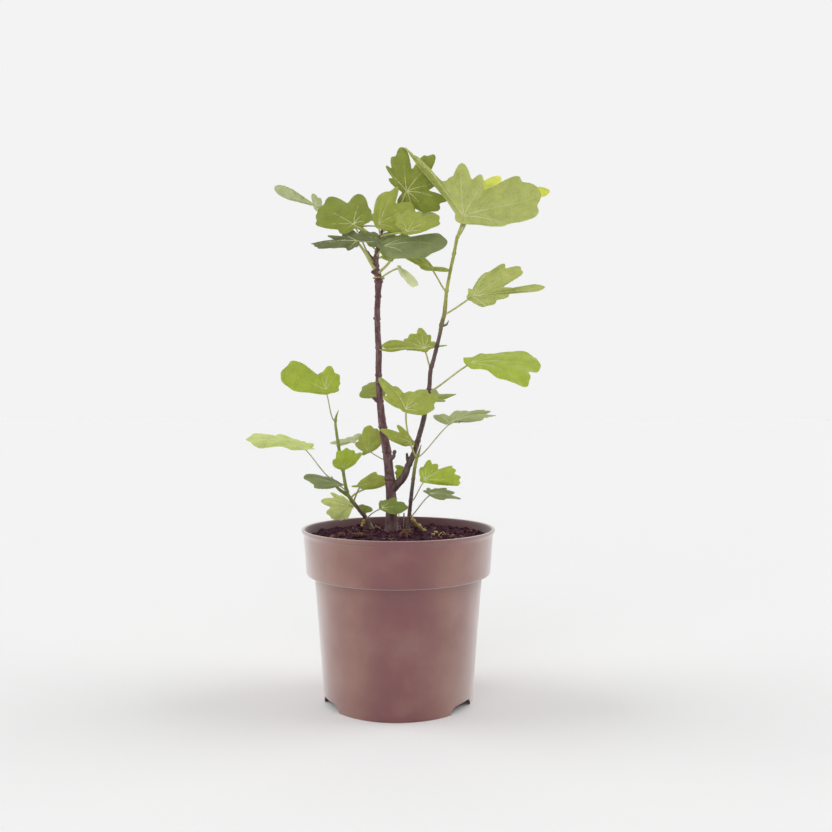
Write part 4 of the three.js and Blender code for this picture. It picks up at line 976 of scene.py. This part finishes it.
# %% [markdown]
# ## Leaf stalks
# A fig's stalk swells a little where it leaves the stem and runs straight into the midrib.
# Stalks on the strong stems are green and two millimetres thick, and those on the young
# shoots are thinner and tan. They follow the same bends as the solid stalks.

# %% Make the stalks
STALK_RISE, STALK_TURN, STALK_BOW = 0.5, 0.35, 0.2  # as in the solids
STALK_SUNK = 0.6  # how deep a stalk's foot sits in the bark
STALK_END = 1.8  # how far its other end runs on into the blade
STALK_RADIUS, THIN_RADIUS, STOUT_RADIUS = 0.9, 0.62, 1.4
THIN_STALKS = ("left_top", "left_far", "right_bright", "right_dark", "right_top", "left_grey", "left_strip",
               "trunk_left", "left_small", "front_base", "left_hanging", "crown_far_left")
STOUT_STALKS = ("crown_left_low", "ring_curl")


def stalk_line(leaf, steps=22):
    """The stalk's middle line, from the bark to the start of the midrib."""
    centre, way, radius = limb_at_height(LIMBS[leaf["on"]], leaf["height"])
    joint, along = leaf["joint"], leaf["along"]
    out = joint - centre
    out = unit(out - way * out.dot(way))
    foot = centre + out * (radius - STALK_SUNK)
    span = np.linalg.norm(joint - foot)
    arriving = unit((joint - foot) / span * (1 - STALK_TURN) + along * STALK_TURN)
    second = foot + unit(out + way * STALK_RISE) * span * STALK_BOW
    third = joint - arriving * span * STALK_BOW
    end = joint + along * STALK_END
    t = np.linspace(0, 1, steps)[:, None]
    return foot * (1 - t) ** 3 + 3 * second * t * (1 - t) ** 2 + 3 * third * t * t * (1 - t) + end * t ** 3


stalks = {"green": Heap(), "tan": Heap()}
for leaf in LEAVES:
    line = stalk_line(leaf)
    share = np.linspace(0, 1, len(line))
    thin = leaf["name"] in THIN_STALKS
    radius = THIN_RADIUS if thin else STOUT_RADIUS if leaf["name"] in STOUT_STALKS else STALK_RADIUS
    radii = radius * (1 + 0.45 * np.exp(-share * 14) - 0.1 * share)
    stalks["tan" if thin else "green"].add(*tube(line, radii, 10))

STALK_SHADES = {"green": [(166, 168, 82), (196, 194, 128)], "tan": [(168, 160, 108), (192, 184, 144)]}
for name, colours in STALK_SHADES.items():
    finish = mottled("stalk_" + name, 0.5, colours, TWO_SHADES, (6, 3, (1, 1, 0.3)), (0.7,), 0.12,
                     Sheen_Weight=0.15)
    new_piece("leaf_stalks_" + name, stalks[name], [finish])

# %% [markdown]
# ## Bark
# The trunk and the second stem are woody, with small knobs where leaves stood last year. The
# tubes of a limb and of its knobs only pass through each other at first. A voxel remesh melts
# them into one skin, as the bark is, and each point of the skin is then moved a little in or
# out: rings at the nodes, slow swellings, and fine wrinkles round the limb. A sculpt would
# look as good, but moving points by a rule keeps the limb where its solid is.

# %% Melt forms into one skin
SKIN_VOXEL = 0.5


def melt(name, heap, voxel):
    """One closed skin round everything in the heap, as a mesh."""
    raw = put_in_scene(name, heap.mesh(name))
    remesh = raw.modifiers.new("skin", "REMESH")
    remesh.mode = "VOXEL"
    remesh.voxel_size = voxel * MM
    smooth = raw.modifiers.new("smooth", "SMOOTH")
    smooth.factor = 0.5
    smooth.iterations = 3
    skin = with_modifiers(raw)
    bpy.data.objects.remove(raw)
    return skin


print("voxels across the trunk's foot:", round(2 * TRUNK[0][3] / SKIN_VOXEL))

# %% Roughen the bark
BARK_RELIEF = [  # share of the relief, and its changes per millimetre across and along the limb
    (0.5, 0.16, 0.11),
    (0.26, 0.5, 1.5),
    (0.22, 1.5, 0.5),
]
NODE_RELIEF = [(0.75, 0, 1.3), (-0.3, -2.4, 0.9)]  # share, height over the node, width


def roughen(skin, nodes, amount):
    """Moves the skin's points in and out: swellings and wrinkles, and rings at the nodes' heights."""
    count = len(skin.vertices)
    places, normals = np.zeros(count * 3), np.zeros(count * 3)
    skin.vertices.foreach_get("co", places)
    skin.vertices.foreach_get("normal", normals)
    places, normals = places.reshape(-1, 3) / MM, normals.reshape(-1, 3)
    moves = np.zeros(count)
    for share, across, up in BARK_RELIEF:
        moves += share * np.array([noise.noise(Vector(spot)) for spot in places * (across, across, up)])
    for height in nodes:
        for share, over, width in NODE_RELIEF:
            moves += share * np.exp(-((places[:, 2] - height - over) / width) ** 2)
    skin.vertices.foreach_set("co", ((places + normals * amount * moves[:, None]) * MM).ravel())
    return skin


print("layers of relief:", len(BARK_RELIEF), "on the whole skin and", len(NODE_RELIEF), "at each node")

# %% Grow a limb
LIMB_SPACING, LIMB_SIDES = 0.9, 18


def limb_piece(name, tables, nodes, amount, material, replaced):
    """One limb with its knobs. The nodes are heights, and amount is how deep the relief goes."""
    heap = Heap()
    for table in tables:
        heap.add(*tube(*limb_line(table, LIMB_SPACING), LIMB_SIDES))
    skin = roughen(melt(name, heap, SKIN_VOXEL), nodes, amount)
    skin.materials.clear()
    skin.materials.append(material)
    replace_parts(finish_piece(name, skin), *replaced)


print("rings along the trunk:", len(limb_line(TRUNK, LIMB_SPACING)[0]))

# %% [markdown]
# ## Bark finishes
# Last year's wood is purple brown with pale dots, the pores that it breathes through. Higher
# up the second stem is this year's growth and still olive green, so its finish runs from
# brown to green with height, and so do those of the shoots. All are streaked along the limb.
# Height is read from the place on the piece, so nothing has to be painted by hand.

# %% Mix the bark
BARK_STEPS = [0.3, 0.5, 0.72]
PORE_SPACING = 4.2
YOUNG_DARK, YOUNG_LIGHT, PORE_LIGHT = 0.82, 1.12, 1.15


def bark_finish(name, dark, middle, light, roughness, top=None, turn=None):
    """Streaked bark with pores. With a top colour, it turns to that between two heights."""
    material, shader = new_finish(name, roughness)
    streaks = noise_pattern(material, 3.4, 5, (1, 1, 0.35))
    tone = shades(material, streaks, [dark, middle, light], BARK_STEPS)
    if top:
        height = add_node(material, "SeparateXYZ", {"Vector": place_on(material)}).outputs["Z"]
        grown = ranged(material, height, [level * MM for level in turn], way="SMOOTHSTEP")
        greens = [scaled(top, YOUNG_DARK), top, scaled(top, YOUNG_LIGHT)]
        tone = blend(material, grown, tone, shades(material, streaks, greens, BARK_STEPS))
    pores = ranged(material, cell_pattern(material, PORE_SPACING), (0.2, 0.1))
    tone = blend(material, pores, tone, scaled(light, PORE_LIGHT))
    link(tone, shader.inputs["Base Color"])
    raise_surface(material, shader, [(noise_pattern(material, 0.9, 4, (1, 1, 0.5)), 1), (pores, 0.5)], 0.3)
    return material


bark_purple = bark_finish("fig_bark_purple", (74, 42, 49), (101, 67, 70), (133, 103, 102), 0.7)
bark_second = bark_finish("fig_bark_second", (66, 43, 48), (92, 68, 64), (120, 98, 88), 0.65,
                          (166, 168, 80), (345, 405))
bark_right = bark_finish("fig_shoot_right", (68, 44, 48), (94, 70, 64), (124, 100, 86), 0.6,
                         (140, 148, 66), (200, 240))
bark_left = bark_finish("fig_shoot_left", (76, 52, 52), (100, 76, 64), (132, 110, 82), 0.55,
                        (134, 146, 58), (176, 200))
print("barks:", bark_purple.name, bark_second.name, bark_right.name, bark_left.name)

# %% [markdown]
# ## Stems and shoots
# Four limbs leave the compost or the trunk, and each becomes one piece with its own knobs and
# forks. The old trunk is the roughest and the green shoots are nearly smooth. The heights in
# each list are the nodes, where leaves stand or stood.

# %% Make the limbs
SUNK = [0, 0, -4, 0]  # the foot of a limb goes on into the compost


def sunk(table):
    return [list(np.add(table[0], SUNK))] + table


limb_piece("trunk_bark", [sunk(TRUNK), *TRUNK_STUBS, FORK_TWIG],
           (186, 214, 241, 266, 292, 318, 345, 374, 396, 411, 427, 441),
           0.8, bark_purple, ["trunk", "trunk_fork_twig"])
limb_piece("second_stem_bark", [SECOND_STEM, *SECOND_STEM_STUBS],
           (228, 252, 281, 304, 326, 346, 367, 400, 436, 452),
           0.55, bark_second, ["second_stem"])
limb_piece("right_shoot_bark", [sunk(RIGHT_SHOOT)], (176, 193, 215, 237),
           0.4, bark_right, ["right_shoot"])
limb_piece("left_shoot_bark", [sunk(LEFT_SHOOT), LEFT_FORK], (177, 190, 201, 222, 247, 272),
           0.4, bark_left, ["left_shoot", "left_fork"])

# %% [markdown]
# ## Pot
# A nursery pot is moulded from thin soft plastic: a tapering body, a deep collar that the
# next pot of a stack rests in, a rolled bead round the rim, and a recessed base with notches
# and holes that let water out. Its section is drawn once here, with rounded corners. A bevel
# modifier could round them too, but it would need its edges picked one by one.

# %% Measure the pot
POT_HEIGHT, RIM_RADIUS, BEAD_HEIGHT, BEAD_SLOPE, WALL = 167, 95, 4, 3, 1.4
COLLAR_TOP_RADIUS, COLLAR_FOOT_RADIUS, COLLAR_FOOT_HEIGHT = 93, 90, 123
BODY_TOP_RADIUS, FOOT_RADIUS, SHELF_RISE = 82, 72.8, 1.5
BASE_DISC_RADIUS, BASE_THICKNESS = 54, 2
CHANNEL_INNER_RADIUS, CHANNEL_HEIGHT = 57, 9
SHELF_HEIGHT = COLLAR_FOOT_HEIGHT - SHELF_RISE
CHANNEL_TOP = CHANNEL_HEIGHT + BASE_THICKNESS


def body_radius(height):
    return FOOT_RADIUS + (BODY_TOP_RADIUS - FOOT_RADIUS) * height / SHELF_HEIGHT


print("radius of the body at the channel:", round(body_radius(CHANNEL_HEIGHT), 2))


# %% Round a section's corners
def rounded(section, longest):
    """The section's corners [radius, height, rounding] rounded off, and its long runs divided."""
    places = [np.array([r, z], float) for r, z, _ in section]
    points = []
    for index, (corner, (_, _, rounding)) in enumerate(zip(places, section)):
        if rounding and 0 < index < len(section) - 1:
            before, after = places[index - 1] - corner, places[index + 1] - corner
            start = corner + before * min(rounding / np.linalg.norm(before), 0.49)
            end = corner + after * min(rounding / np.linalg.norm(after), 0.49)
            bends = np.linspace(0, 1, 6)
            points += [start * (1 - t) ** 2 + 2 * corner * t * (1 - t) + end * t * t for t in bends]
        else:
            points.append(corner)
    fine = [points[0]]
    for point in points[1:]:
        start = fine[-1]
        steps = max(1, round(np.linalg.norm(point - start) / longest))
        fine += [start + (point - start) * step / steps for step in range(1, steps + 1)]
    return np.array(fine)


print("points round one corner:", len(rounded([(0, 0, 0), (9, 0, 2), (9, 9, 0)], 20)) - 2)

# %% Draw the pot's section
bead_foot = POT_HEIGHT - BEAD_HEIGHT
pot_section = rounded([
    (0, 0, 0),
    (BASE_DISC_RADIUS, 0, 1),
    (CHANNEL_INNER_RADIUS, CHANNEL_HEIGHT, 1),
    (body_radius(CHANNEL_HEIGHT) - WALL, CHANNEL_HEIGHT, 1),
    (FOOT_RADIUS - WALL, 0, 0.5),
    (FOOT_RADIUS, 0, 0.7),
    (BODY_TOP_RADIUS, SHELF_HEIGHT, 1.2),
    (BODY_TOP_RADIUS + WALL, COLLAR_FOOT_HEIGHT, 0.9),
    (COLLAR_FOOT_RADIUS, COLLAR_FOOT_HEIGHT, 2.2),
    (COLLAR_TOP_RADIUS, bead_foot - BEAD_SLOPE / 2, 2),
    (RIM_RADIUS, bead_foot + BEAD_SLOPE / 2, 2),
    (RIM_RADIUS, POT_HEIGHT, 1.5),
    (COLLAR_TOP_RADIUS - WALL, POT_HEIGHT, 1.4),
    (COLLAR_FOOT_RADIUS - WALL, COLLAR_FOOT_HEIGHT + WALL, 1.2),
    (BODY_TOP_RADIUS, COLLAR_FOOT_HEIGHT + WALL, 1),
    (BODY_TOP_RADIUS - WALL, SHELF_HEIGHT, 1),
    (body_radius(CHANNEL_TOP) - WALL, CHANNEL_TOP, 1),
    (CHANNEL_INNER_RADIUS - BASE_THICKNESS, CHANNEL_TOP, 1),
    (BASE_DISC_RADIUS - BASE_THICKNESS, BASE_THICKNESS, 1),
    (0, BASE_THICKNESS, 0),
], 3.2)
print("points in the pot's section:", len(pot_section))

# %% [markdown]
# ## Turning and cutting
# The section is turned round the pot's axis. Real thin plastic is never quite round, so the
# points are moved by a slow noise on the way. The notches and drain holes are then cut with a
# boolean, as it keeps the thin wall exact.

# %% Turn the section
POT_SIDES = 168
POT_WOBBLE = 0.22


def turned(section, sides, wobble=0):
    """A closed form turned round the pot's axis. The section's ends lie on the axis."""
    turns = np.arange(sides) * 2 * math.pi / sides
    rows = []
    for r, z in section[1:-1]:
        radii = np.full(sides, r)
        if wobble:
            slow = [noise.noise(Vector((2.2 * math.cos(t), 2.2 * math.sin(t), z / 45))) for t in turns]
            radii = radii + wobble * np.array(slow)
        rows.append(np.column_stack([radii * np.cos(turns), radii * np.sin(turns), np.full(sides, z)]))
    points = np.vstack([[[0, 0, section[0][1]]], *rows, [[0, 0, section[-1][1]]]])
    return points, skin_faces(len(rows), sides)


shell = Heap()
shell.add(*turned(pot_section, POT_SIDES, POT_WOBBLE))
whole = put_in_scene("pot_whole", shell.mesh("pot_shell"))
print("faces before the cut:", len(whole.data.polygons))

# %% Cut the foot
NOTCH_COUNT, NOTCH_FIRST_ANGLE, NOTCH_WIDTH, NOTCH_HEIGHT = 3, -33, 37, 7.5
NOTCH_SHOULDER, NOTCH_DEPTH = 9, 12
DRAIN_RADIUS, DRAIN_CIRCLE_RADIUS = 3.5, 64


def extruded(outline, low, high, turn):
    """A bar along the pot's radius with this outline of [across, up], from low to high."""
    count = len(outline)
    points = np.array([[r, across, up] for r in (low, high) for across, up in outline])
    c, s = math.cos(turn), math.sin(turn)
    points = points @ np.array([[c, s, 0], [-s, c, 0], [0, 0, 1]])
    a = np.arange(count)
    b = (a + 1) % count
    return points, [np.column_stack([a, b, b + count, a + count]), a[None, ::-1], a[None, :] + count]


def notch_outline():
    """A low arch with round shoulders, as points [across, up]."""
    half, shoulder = NOTCH_WIDTH / 2, NOTCH_WIDTH / 2 - NOTCH_SHOULDER / 4
    side = []
    for t in np.linspace(0, 1, 7):
        across = half * (1 - t) ** 2 + 2 * shoulder * t * (1 - t) + (half - NOTCH_SHOULDER) * t * t
        side.append([across, 2 * NOTCH_HEIGHT * t * (1 - t) + NOTCH_HEIGHT * t * t])
    return [[-half, -1], [half, -1]] + side + [[-across, up] for across, up in side[::-1]]


cutters = Heap()
for notch in range(NOTCH_COUNT):
    turn = math.radians(NOTCH_FIRST_ANGLE + 360 / NOTCH_COUNT * notch)
    cutters.add(*extruded(notch_outline(), FOOT_RADIUS - NOTCH_DEPTH, FOOT_RADIUS + NOTCH_DEPTH, turn))
    middle = DRAIN_CIRCLE_RADIUS * np.array([math.cos(turn), math.sin(turn), 0])
    ends = [middle + [0, 0, CHANNEL_HEIGHT - 0.9], middle + [0, 0, CHANNEL_TOP + 2]]
    cutters.add(*tube(ends, [DRAIN_RADIUS] * 2, 24))
cutter = put_in_scene("foot_cutters", cutters.mesh("foot_cutters"))
cut = whole.modifiers.new("foot", "BOOLEAN")
cut.operation = "DIFFERENCE"
cut.solver = "EXACT"
cut.object = cutter
pot_mesh = with_modifiers(whole)
for made in (cutter, whole):
    bpy.data.objects.remove(made)
print("faces after the cut:", len(pot_mesh.polygons))

# %% [markdown]
# ## Pot finish
# The plastic is recycled, so its dusty red brown is clouded with redder and tanner patches. The
# middle of the front is painted redder and darker, as painted shade where the pot mirrors nothing
# bright, and the rest is a lighter tan that is partly painted reflection of the side lamps. The
# inside is painted dark, as painted shade in the pot's hollow. The plastic is smooth but not
# polished: straight on it looks matt, and towards the sides it mirrors the white room. A thin
# rough coat and a sheen on the shader give most of that, and the painted lighter tan adds to it.

# %% Mix the pot's plastic
# The front middle is painted redder and darker, as painted shade where the pot mirrors nothing bright. These
# stretches say where that painted shade fades.
PAINTED_SHADE_LEFT, PAINTED_SHADE_RIGHT, PAINTED_SHADE_FRONT = (-8, -44), (14, 50), (-40, -5)  # where the red fades, from and to
# The inside of the pot is painted darker, as painted shade in its hollow.
INNER_PAINTED_SHADE = (100, 44, 52)
INNER_SHADE_FADE = (-10, 10)
CLOUD_STEPS = [0.34, 0.5, 0.68]
GLOSSY, MATT = 0.36, 0.5
pot_plastic, shader = new_finish("pot_plastic_brown", 0.42, Sheen_Weight=1.0, Sheen_Roughness=0.45,
                                 Coat_Weight=0.9, Coat_Roughness=0.34)


def fades(value, stretch):
    """A share that falls softly from 1 to 0 as the value passes along the stretch."""
    return ranged(pot_plastic, value, [end * MM for end in stretch], (1, 0), "SMOOTHSTEP")


def product(first, second):
    return add_node(pot_plastic, "Math", {0: first, 1: second}, operation="MULTIPLY").outputs["Value"]


clouds = noise_pattern(pot_plastic, 46, 4)
# The lighter tan is the plastic's clouded colour, partly painted reflection of the side lamps. The redder,
# darker tone after it is the painted shade of the front middle.
tone_with_painted_reflection = shades(pot_plastic, clouds, [(128, 74, 64), (140, 90, 77), (148, 104, 91)], CLOUD_STEPS)
fresh = shades(pot_plastic, clouds, [(114, 50, 54), (122, 58, 59), (134, 82, 74)], CLOUD_STEPS)
spot = add_node(pot_plastic, "TexCoord", {}).outputs
across, back, _ = add_node(pot_plastic, "SeparateXYZ", {"Vector": spot["Object"]}).outputs
# The painted shade lies in a band round the front middle, between these two edges.
sides = product(fades(across, PAINTED_SHADE_LEFT), fades(across, PAINTED_SHADE_RIGHT))
tone = blend(pot_plastic, product(sides, fades(back, PAINTED_SHADE_FRONT)), tone_with_painted_reflection, fresh)
facing = {0: spot["Object"], 1: spot["Normal"]}
outward = add_node(pot_plastic, "VectorMath", facing, operation="DOT_PRODUCT")  # below zero on the inside
# Painted shade: the inside turns to the darker colour.
tone = blend(pot_plastic, fades(outward.outputs["Value"], INNER_SHADE_FADE), tone, INNER_PAINTED_SHADE)
link(tone, shader.inputs["Base Color"])
link(ranged(pot_plastic, noise_pattern(pot_plastic, 14), (0, 1), (GLOSSY, MATT)), shader.inputs["Roughness"])
dents, grain = noise_pattern(pot_plastic, 16, 2), noise_pattern(pot_plastic, 0.8, 2)
raise_surface(pot_plastic, shader, [(dents, 1), (grain, 0.08)], 0.5)
pot_mesh.materials.clear()
pot_mesh.materials.append(pot_plastic)
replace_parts(finish_piece("pot_shell", pot_mesh, crease=35), "pot")

# %% [markdown]
# ## Compost
# The pot is full of dark peat with bark crumbs, fibres and a few white grains. The filling
# itself is one closed form that follows the pot's inside, with a lumpy top. It is turned as
# the pot was, and its top is then raised point by point, which a displace modifier could
# also do, but the crumbs have to find the same height.

# %% Fill the pot
SOIL_FLAT_RADIUS, SOIL_SPREAD, SOIL_EDGE_DROP, SOIL_LUMP = 46, 20, 3.5, 1.6
SOIL_RINGS, SOIL_SIDES = 70, 220
SOIL_SLACK = 0.2
COLLAR_SLOPE = 0.068
SOIL_STEPS = [0.35, 0.52, 0.7]


def lump(x, y):
    """The wide lumps near the wall, as the solid compost has them."""
    past = min(1, max(0, (math.hypot(x, y) - SOIL_FLAT_RADIUS) / SOIL_SPREAD))
    spread = past * past * (3 - 2 * past)
    wave = math.sin(x * 0.19 + 1) * math.cos(y * 0.23) + 0.6 * math.sin(x * 0.41 - y * 0.37)
    return spread * (SOIL_LUMP * wave - SOIL_EDGE_DROP)


def soil_height(x, y):
    rough = 1.3 * noise.noise(Vector((x * 0.16, y * 0.16, 3)))
    rough += 0.9 * noise.noise(Vector((x * 0.4, y * 0.4, 7)))
    return SOIL_LEVEL + lump(x, y) + rough


def soil_finish(name, colours, size, roughness=0.95):
    return mottled(name, roughness, colours, SOIL_STEPS, (size, 5), (1.1, 5), 0.8, Specular_IOR_Level=0.2)


inset = WALL + SEAT
edge_level = SOIL_LEVEL - 2 * SOIL_EDGE_DROP
soil_edge = COLLAR_FOOT_RADIUS - inset + COLLAR_SLOPE * (edge_level - COLLAR_FOOT_HEIGHT)
soil_section = rounded([
    (0, BASE_THICKNESS + SEAT, 0),
    (BASE_DISC_RADIUS - BASE_THICKNESS - SEAT, BASE_THICKNESS + SEAT, 0),
    (CHANNEL_INNER_RADIUS - BASE_THICKNESS - SEAT, CHANNEL_TOP + SEAT, 0),
    (body_radius(CHANNEL_TOP + SEAT) - inset - SOIL_SLACK, CHANNEL_TOP + SEAT, 0),
    (BODY_TOP_RADIUS - inset - SOIL_SLACK, SHELF_HEIGHT, 0),
    (BODY_TOP_RADIUS - SEAT, COLLAR_FOOT_HEIGHT + inset, 0),
    (COLLAR_FOOT_RADIUS - inset - SOIL_SLACK, COLLAR_FOOT_HEIGHT + inset, 0),
    (soil_edge, edge_level - 1, 0),
], 12)
top_section = [(soil_edge * (1 - ring / SOIL_RINGS), SOIL_LEVEL) for ring in range(SOIL_RINGS + 1)]
soil_points, soil_faces = turned(np.vstack([soil_section, top_section]), SOIL_SIDES)
for point in soil_points:
    if point[2] > SOIL_LEVEL - 0.01:
        point[2] = soil_height(point[0], point[1])
filling = Heap()
filling.add(soil_points, soil_faces)
peat = soil_finish("peat_dark", [(44, 12, 28), (66, 24, 44), (94, 50, 64)], 4)
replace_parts(new_piece("compost", filling, [peat]), "soil")

# %% [markdown]
# ## Crumbs and white grains
# Loose crumbs cover the filling, each an uneven rounded lump of a few millimetres. Thousands of
# separate objects would be slow, so the crumbs of a shade are joined into one piece.

# %% Scatter the crumbs
CRUMB_SEED = 5
CRUMB_REACH = 86
CRUMBS = {  # how many, smallest, largest, then the finish: name, shades, size of its blots
    "compost_crumbs_dark": (850, 1.2, 5.5, "crumb_dark", [(40, 14, 26), (62, 28, 42), (88, 50, 62)], 3),
    "compost_crumbs_light": (260, 0.8, 3.4, "crumb_light", [(86, 42, 56), (114, 68, 82), (142, 100, 108)], 3),
    "perlite_grains": (9, 1.0, 1.8, "perlite_white", [(190, 186, 178), (214, 210, 202), (230, 228, 222)], 2),
}


def add_lump(heap, rng, size, flat, place):
    """An uneven rounded lump of about that size and flatness, at a place."""
    points, faces = (np.array(part) for part in ball_form(2, 0.5))
    swell = 1 + 0.28 * rng.uniform(-1, 1, len(points))
    points = points * swell[:, None] * size * np.array([1, rng.uniform(0.6, 1), flat])
    turn, tip = rng.uniform(0, 2 * math.pi), rng.uniform(-0.5, 0.5)
    c, s, u, v = math.cos(turn), math.sin(turn), math.cos(tip), math.sin(tip)
    points = points @ np.array([[1, 0, 0], [0, u, v], [0, -v, u]])
    points = points @ np.array([[c, s, 0], [-s, c, 0], [0, 0, 1]])
    heap.add(points + place, [faces])


rng = np.random.RandomState(CRUMB_SEED)
for name, (count, smallest, largest, *finish) in CRUMBS.items():
    crumbs = Heap()
    for _ in range(count):
        far, turn = CRUMB_REACH * math.sqrt(rng.uniform()), rng.uniform(0, 2 * math.pi)
        x, y = far * math.cos(turn), far * math.sin(turn)
        size = smallest + (largest - smallest) * rng.uniform() ** 2.5
        add_lump(crumbs, rng, size, rng.uniform(0.4, 0.8), [x, y, soil_height(x, y) + size * 0.12])
    new_piece(name, crumbs, [soil_finish(*finish)])

# %% [markdown]
# ## Roots and twigs
# On the compost lie thin pale roots, and a few dry twigs stand by the trunk. The ones that the
# camera sees well are placed one by one, by their places in its picture, and sixty short fibres
# are strewn at random between them.

# %% Find a place by its pixel
def at_depth(px, py, depth):
    """The place at a pixel of the camera's picture that lies this far behind the pot's middle."""
    scale = (depth - EYE[1]) / PIXELS_PER_UNIT
    return np.array([EYE[0] + (px - PICTURE_MIDDLE) * scale, depth, EYE[2] - (py - PICTURE_MIDDLE) * scale])


def on_soil(px, py, above):
    """The place on the compost, or above it, that lies at a pixel of the camera's picture."""
    scale = (EYE[2] - SOIL_LEVEL) / (py - PICTURE_MIDDLE)
    x, y, _ = at_depth(px, py, PIXELS_PER_UNIT * scale + EYE[1])
    return np.array([x, y, soil_height(x, y) + above])


def lying(spots, radius, lift):
    """A thin bent rod that lies on the compost through picture places."""
    line = np.array([on_soil(px, py, 0.4) for px, py in spots])
    share = np.linspace(0, len(line) - 1, 4 * len(line))
    smooth = np.column_stack([np.interp(share, np.arange(len(line)), line[:, axis]) for axis in range(3)])
    smooth[:, 2] += lift * np.sin(np.linspace(0, math.pi, len(smooth)))
    return tube(smooth, radius * (1 - 0.4 * np.linspace(0, 1, len(smooth))), 6)


print("compost at pixel (444, 533):", on_soil(444, 533, 0).round(1))

# %% Lay the roots and twigs
ROOT_SEED = 9
FIBRE_REACH = 80
LAID_ROOTS = [  # places in the picture, radius, how high the middle stands
    ([(325, 538), (336, 536.5), (345, 537)], 0.7, 0.5),
    ([(352, 534), (361, 537), (372, 535)], 0.35, 1.5),
    ([(444, 533), (458, 537), (468, 536)], 0.35, 1.5),
]
DRY_TWIGS = [  # places in the picture, each with its depth, and radius
    ([(375, 525, 26), (384, 531, 18), (392, 541, 7)], 0.5),
    ([(401, 527, 14), (398, 533, 11), (394, 542, 5)], 0.45),
    ([(404, 513, 8), (403.5, 528, 8), (402, 545, 8)], 0.8),
    ([(399, 514, 10), (397.5, 526, 10), (396, 544, 10)], 0.6),
]

roots = Heap()
for spots, radius, lift in LAID_ROOTS:
    roots.add(*lying(spots, radius, lift))
for spots, radius in DRY_TWIGS:
    roots.add(*tube([at_depth(*spot) for spot in spots], np.full(3, radius), 6))
rng = np.random.RandomState(ROOT_SEED)
for _ in range(60):
    far, turn = FIBRE_REACH * math.sqrt(rng.uniform()), rng.uniform(0, 2 * math.pi)
    way, length = rng.uniform(0, 2 * math.pi), rng.uniform(5, 16)
    start = np.array([far * math.cos(turn), far * math.sin(turn)])
    t = np.linspace(-0.5, 0.5, 7)
    across = np.array([-math.sin(way), math.cos(way)]) * rng.uniform(-0.2, 0.2) * length
    flat = start + np.outer(t * length, [math.cos(way), math.sin(way)]) + np.outer(t * t * 4, across)
    if np.hypot(*flat.T).max() < CRUMB_REACH:
        line = [[x, y, soil_height(x, y) + 0.8] for x, y in flat]
        roots.add(*tube(line, np.full(7, rng.uniform(0.18, 0.4)), 5))
root_tan = soil_finish("root_tan", [(120, 96, 76), (150, 126, 100), (184, 164, 132)], 5, 0.8)
new_piece("compost_roots", roots, [root_tan])

# %% [markdown]
# ## Bark chips and dry bits
# Here and there lie a chip of bark and the crumbs of a dry yellow leaf. One shrivelled leaf
# hangs from the right shoot, and a ring of dry bud scales sits round the trunk. They are few
# and small, so each is a row of the same uneven lumps, placed one by one.

# %% Lay the chips and dry bits
BIT_SEED = 21
CHIPS = [(360, 537, 11, 0.5), (350, 534, 5, 0.6), (333, 537, 9, 0.7), (342, 534, 8, 0.8),  # picture place,
         (404, 537, 12, 0.8), (409, 534, 9, 0.9), (452, 536, 7, 0.5), (467, 537, 6, 0.6)]  # size, flatness
DRY_CRUMBS = [(436, 535, 5.5, 0.5), (433, 536, 3.5, 0.6), (443, 535, 2, 0.5)]
DRY_STALK = [(438, 536), (443, 534), (446, 536)]
DRY_LEAF, DRY_LEAF_STEP = (411.5, 519, 5), (1.7, 1.6, 1.6)  # picture place and depth, and the step onward
LEFT_BIT, LEFT_BIT_STEP = (364.5, 521, 28), (-1.2, 2.2, 0)
SCALE_HEIGHT, SCALE_COUNT = 414.5, 9

chips, dry = Heap(), Heap()
rng = np.random.RandomState(BIT_SEED)
for px, py, size, flat in CHIPS:
    add_lump(chips, rng, size, flat, on_soil(px, py, size * 0.15))
for step in range(12):
    place = at_depth(*np.add(DRY_LEAF, np.multiply(DRY_LEAF_STEP, step)))
    add_lump(dry, rng, 4.6 + 1.2 * math.sin(step * 1.9), 0.7, place)
ring_centre, _, ring_radius = limb_at_height(TRUNK, SCALE_HEIGHT)
for step in range(SCALE_COUNT):
    turn = 2 * math.pi * step / SCALE_COUNT
    out = (ring_radius + 0.8) * np.array([math.cos(turn), math.sin(turn), 0])
    add_lump(dry, rng, 4 + math.sin(step * 2.3), 0.35, ring_centre + out)
for step in range(3):
    add_lump(dry, rng, 4.4, 0.8, at_depth(*np.add(LEFT_BIT, np.multiply(LEFT_BIT_STEP, step))))
for px, py, size, flat in DRY_CRUMBS:
    add_lump(dry, rng, size, flat, on_soil(px, py, 1 + size * 0.2))
dry.add(*lying(DRY_STALK, 0.5, 2))
chip_brown = soil_finish("bark_chip_brown", [(76, 42, 42), (110, 72, 62), (140, 102, 84)], 4)
dry_yellow = soil_finish("dry_leaf_yellow", [(156, 130, 74), (196, 172, 104), (226, 206, 146)], 2)
new_piece("bark_chips", chips, [chip_brown])
new_piece("dry_leaf_bits", dry, [dry_yellow])

# %% [markdown] The fine meshes have to fill the same box as the solids, or the
# tree would change its size when it is dressed.
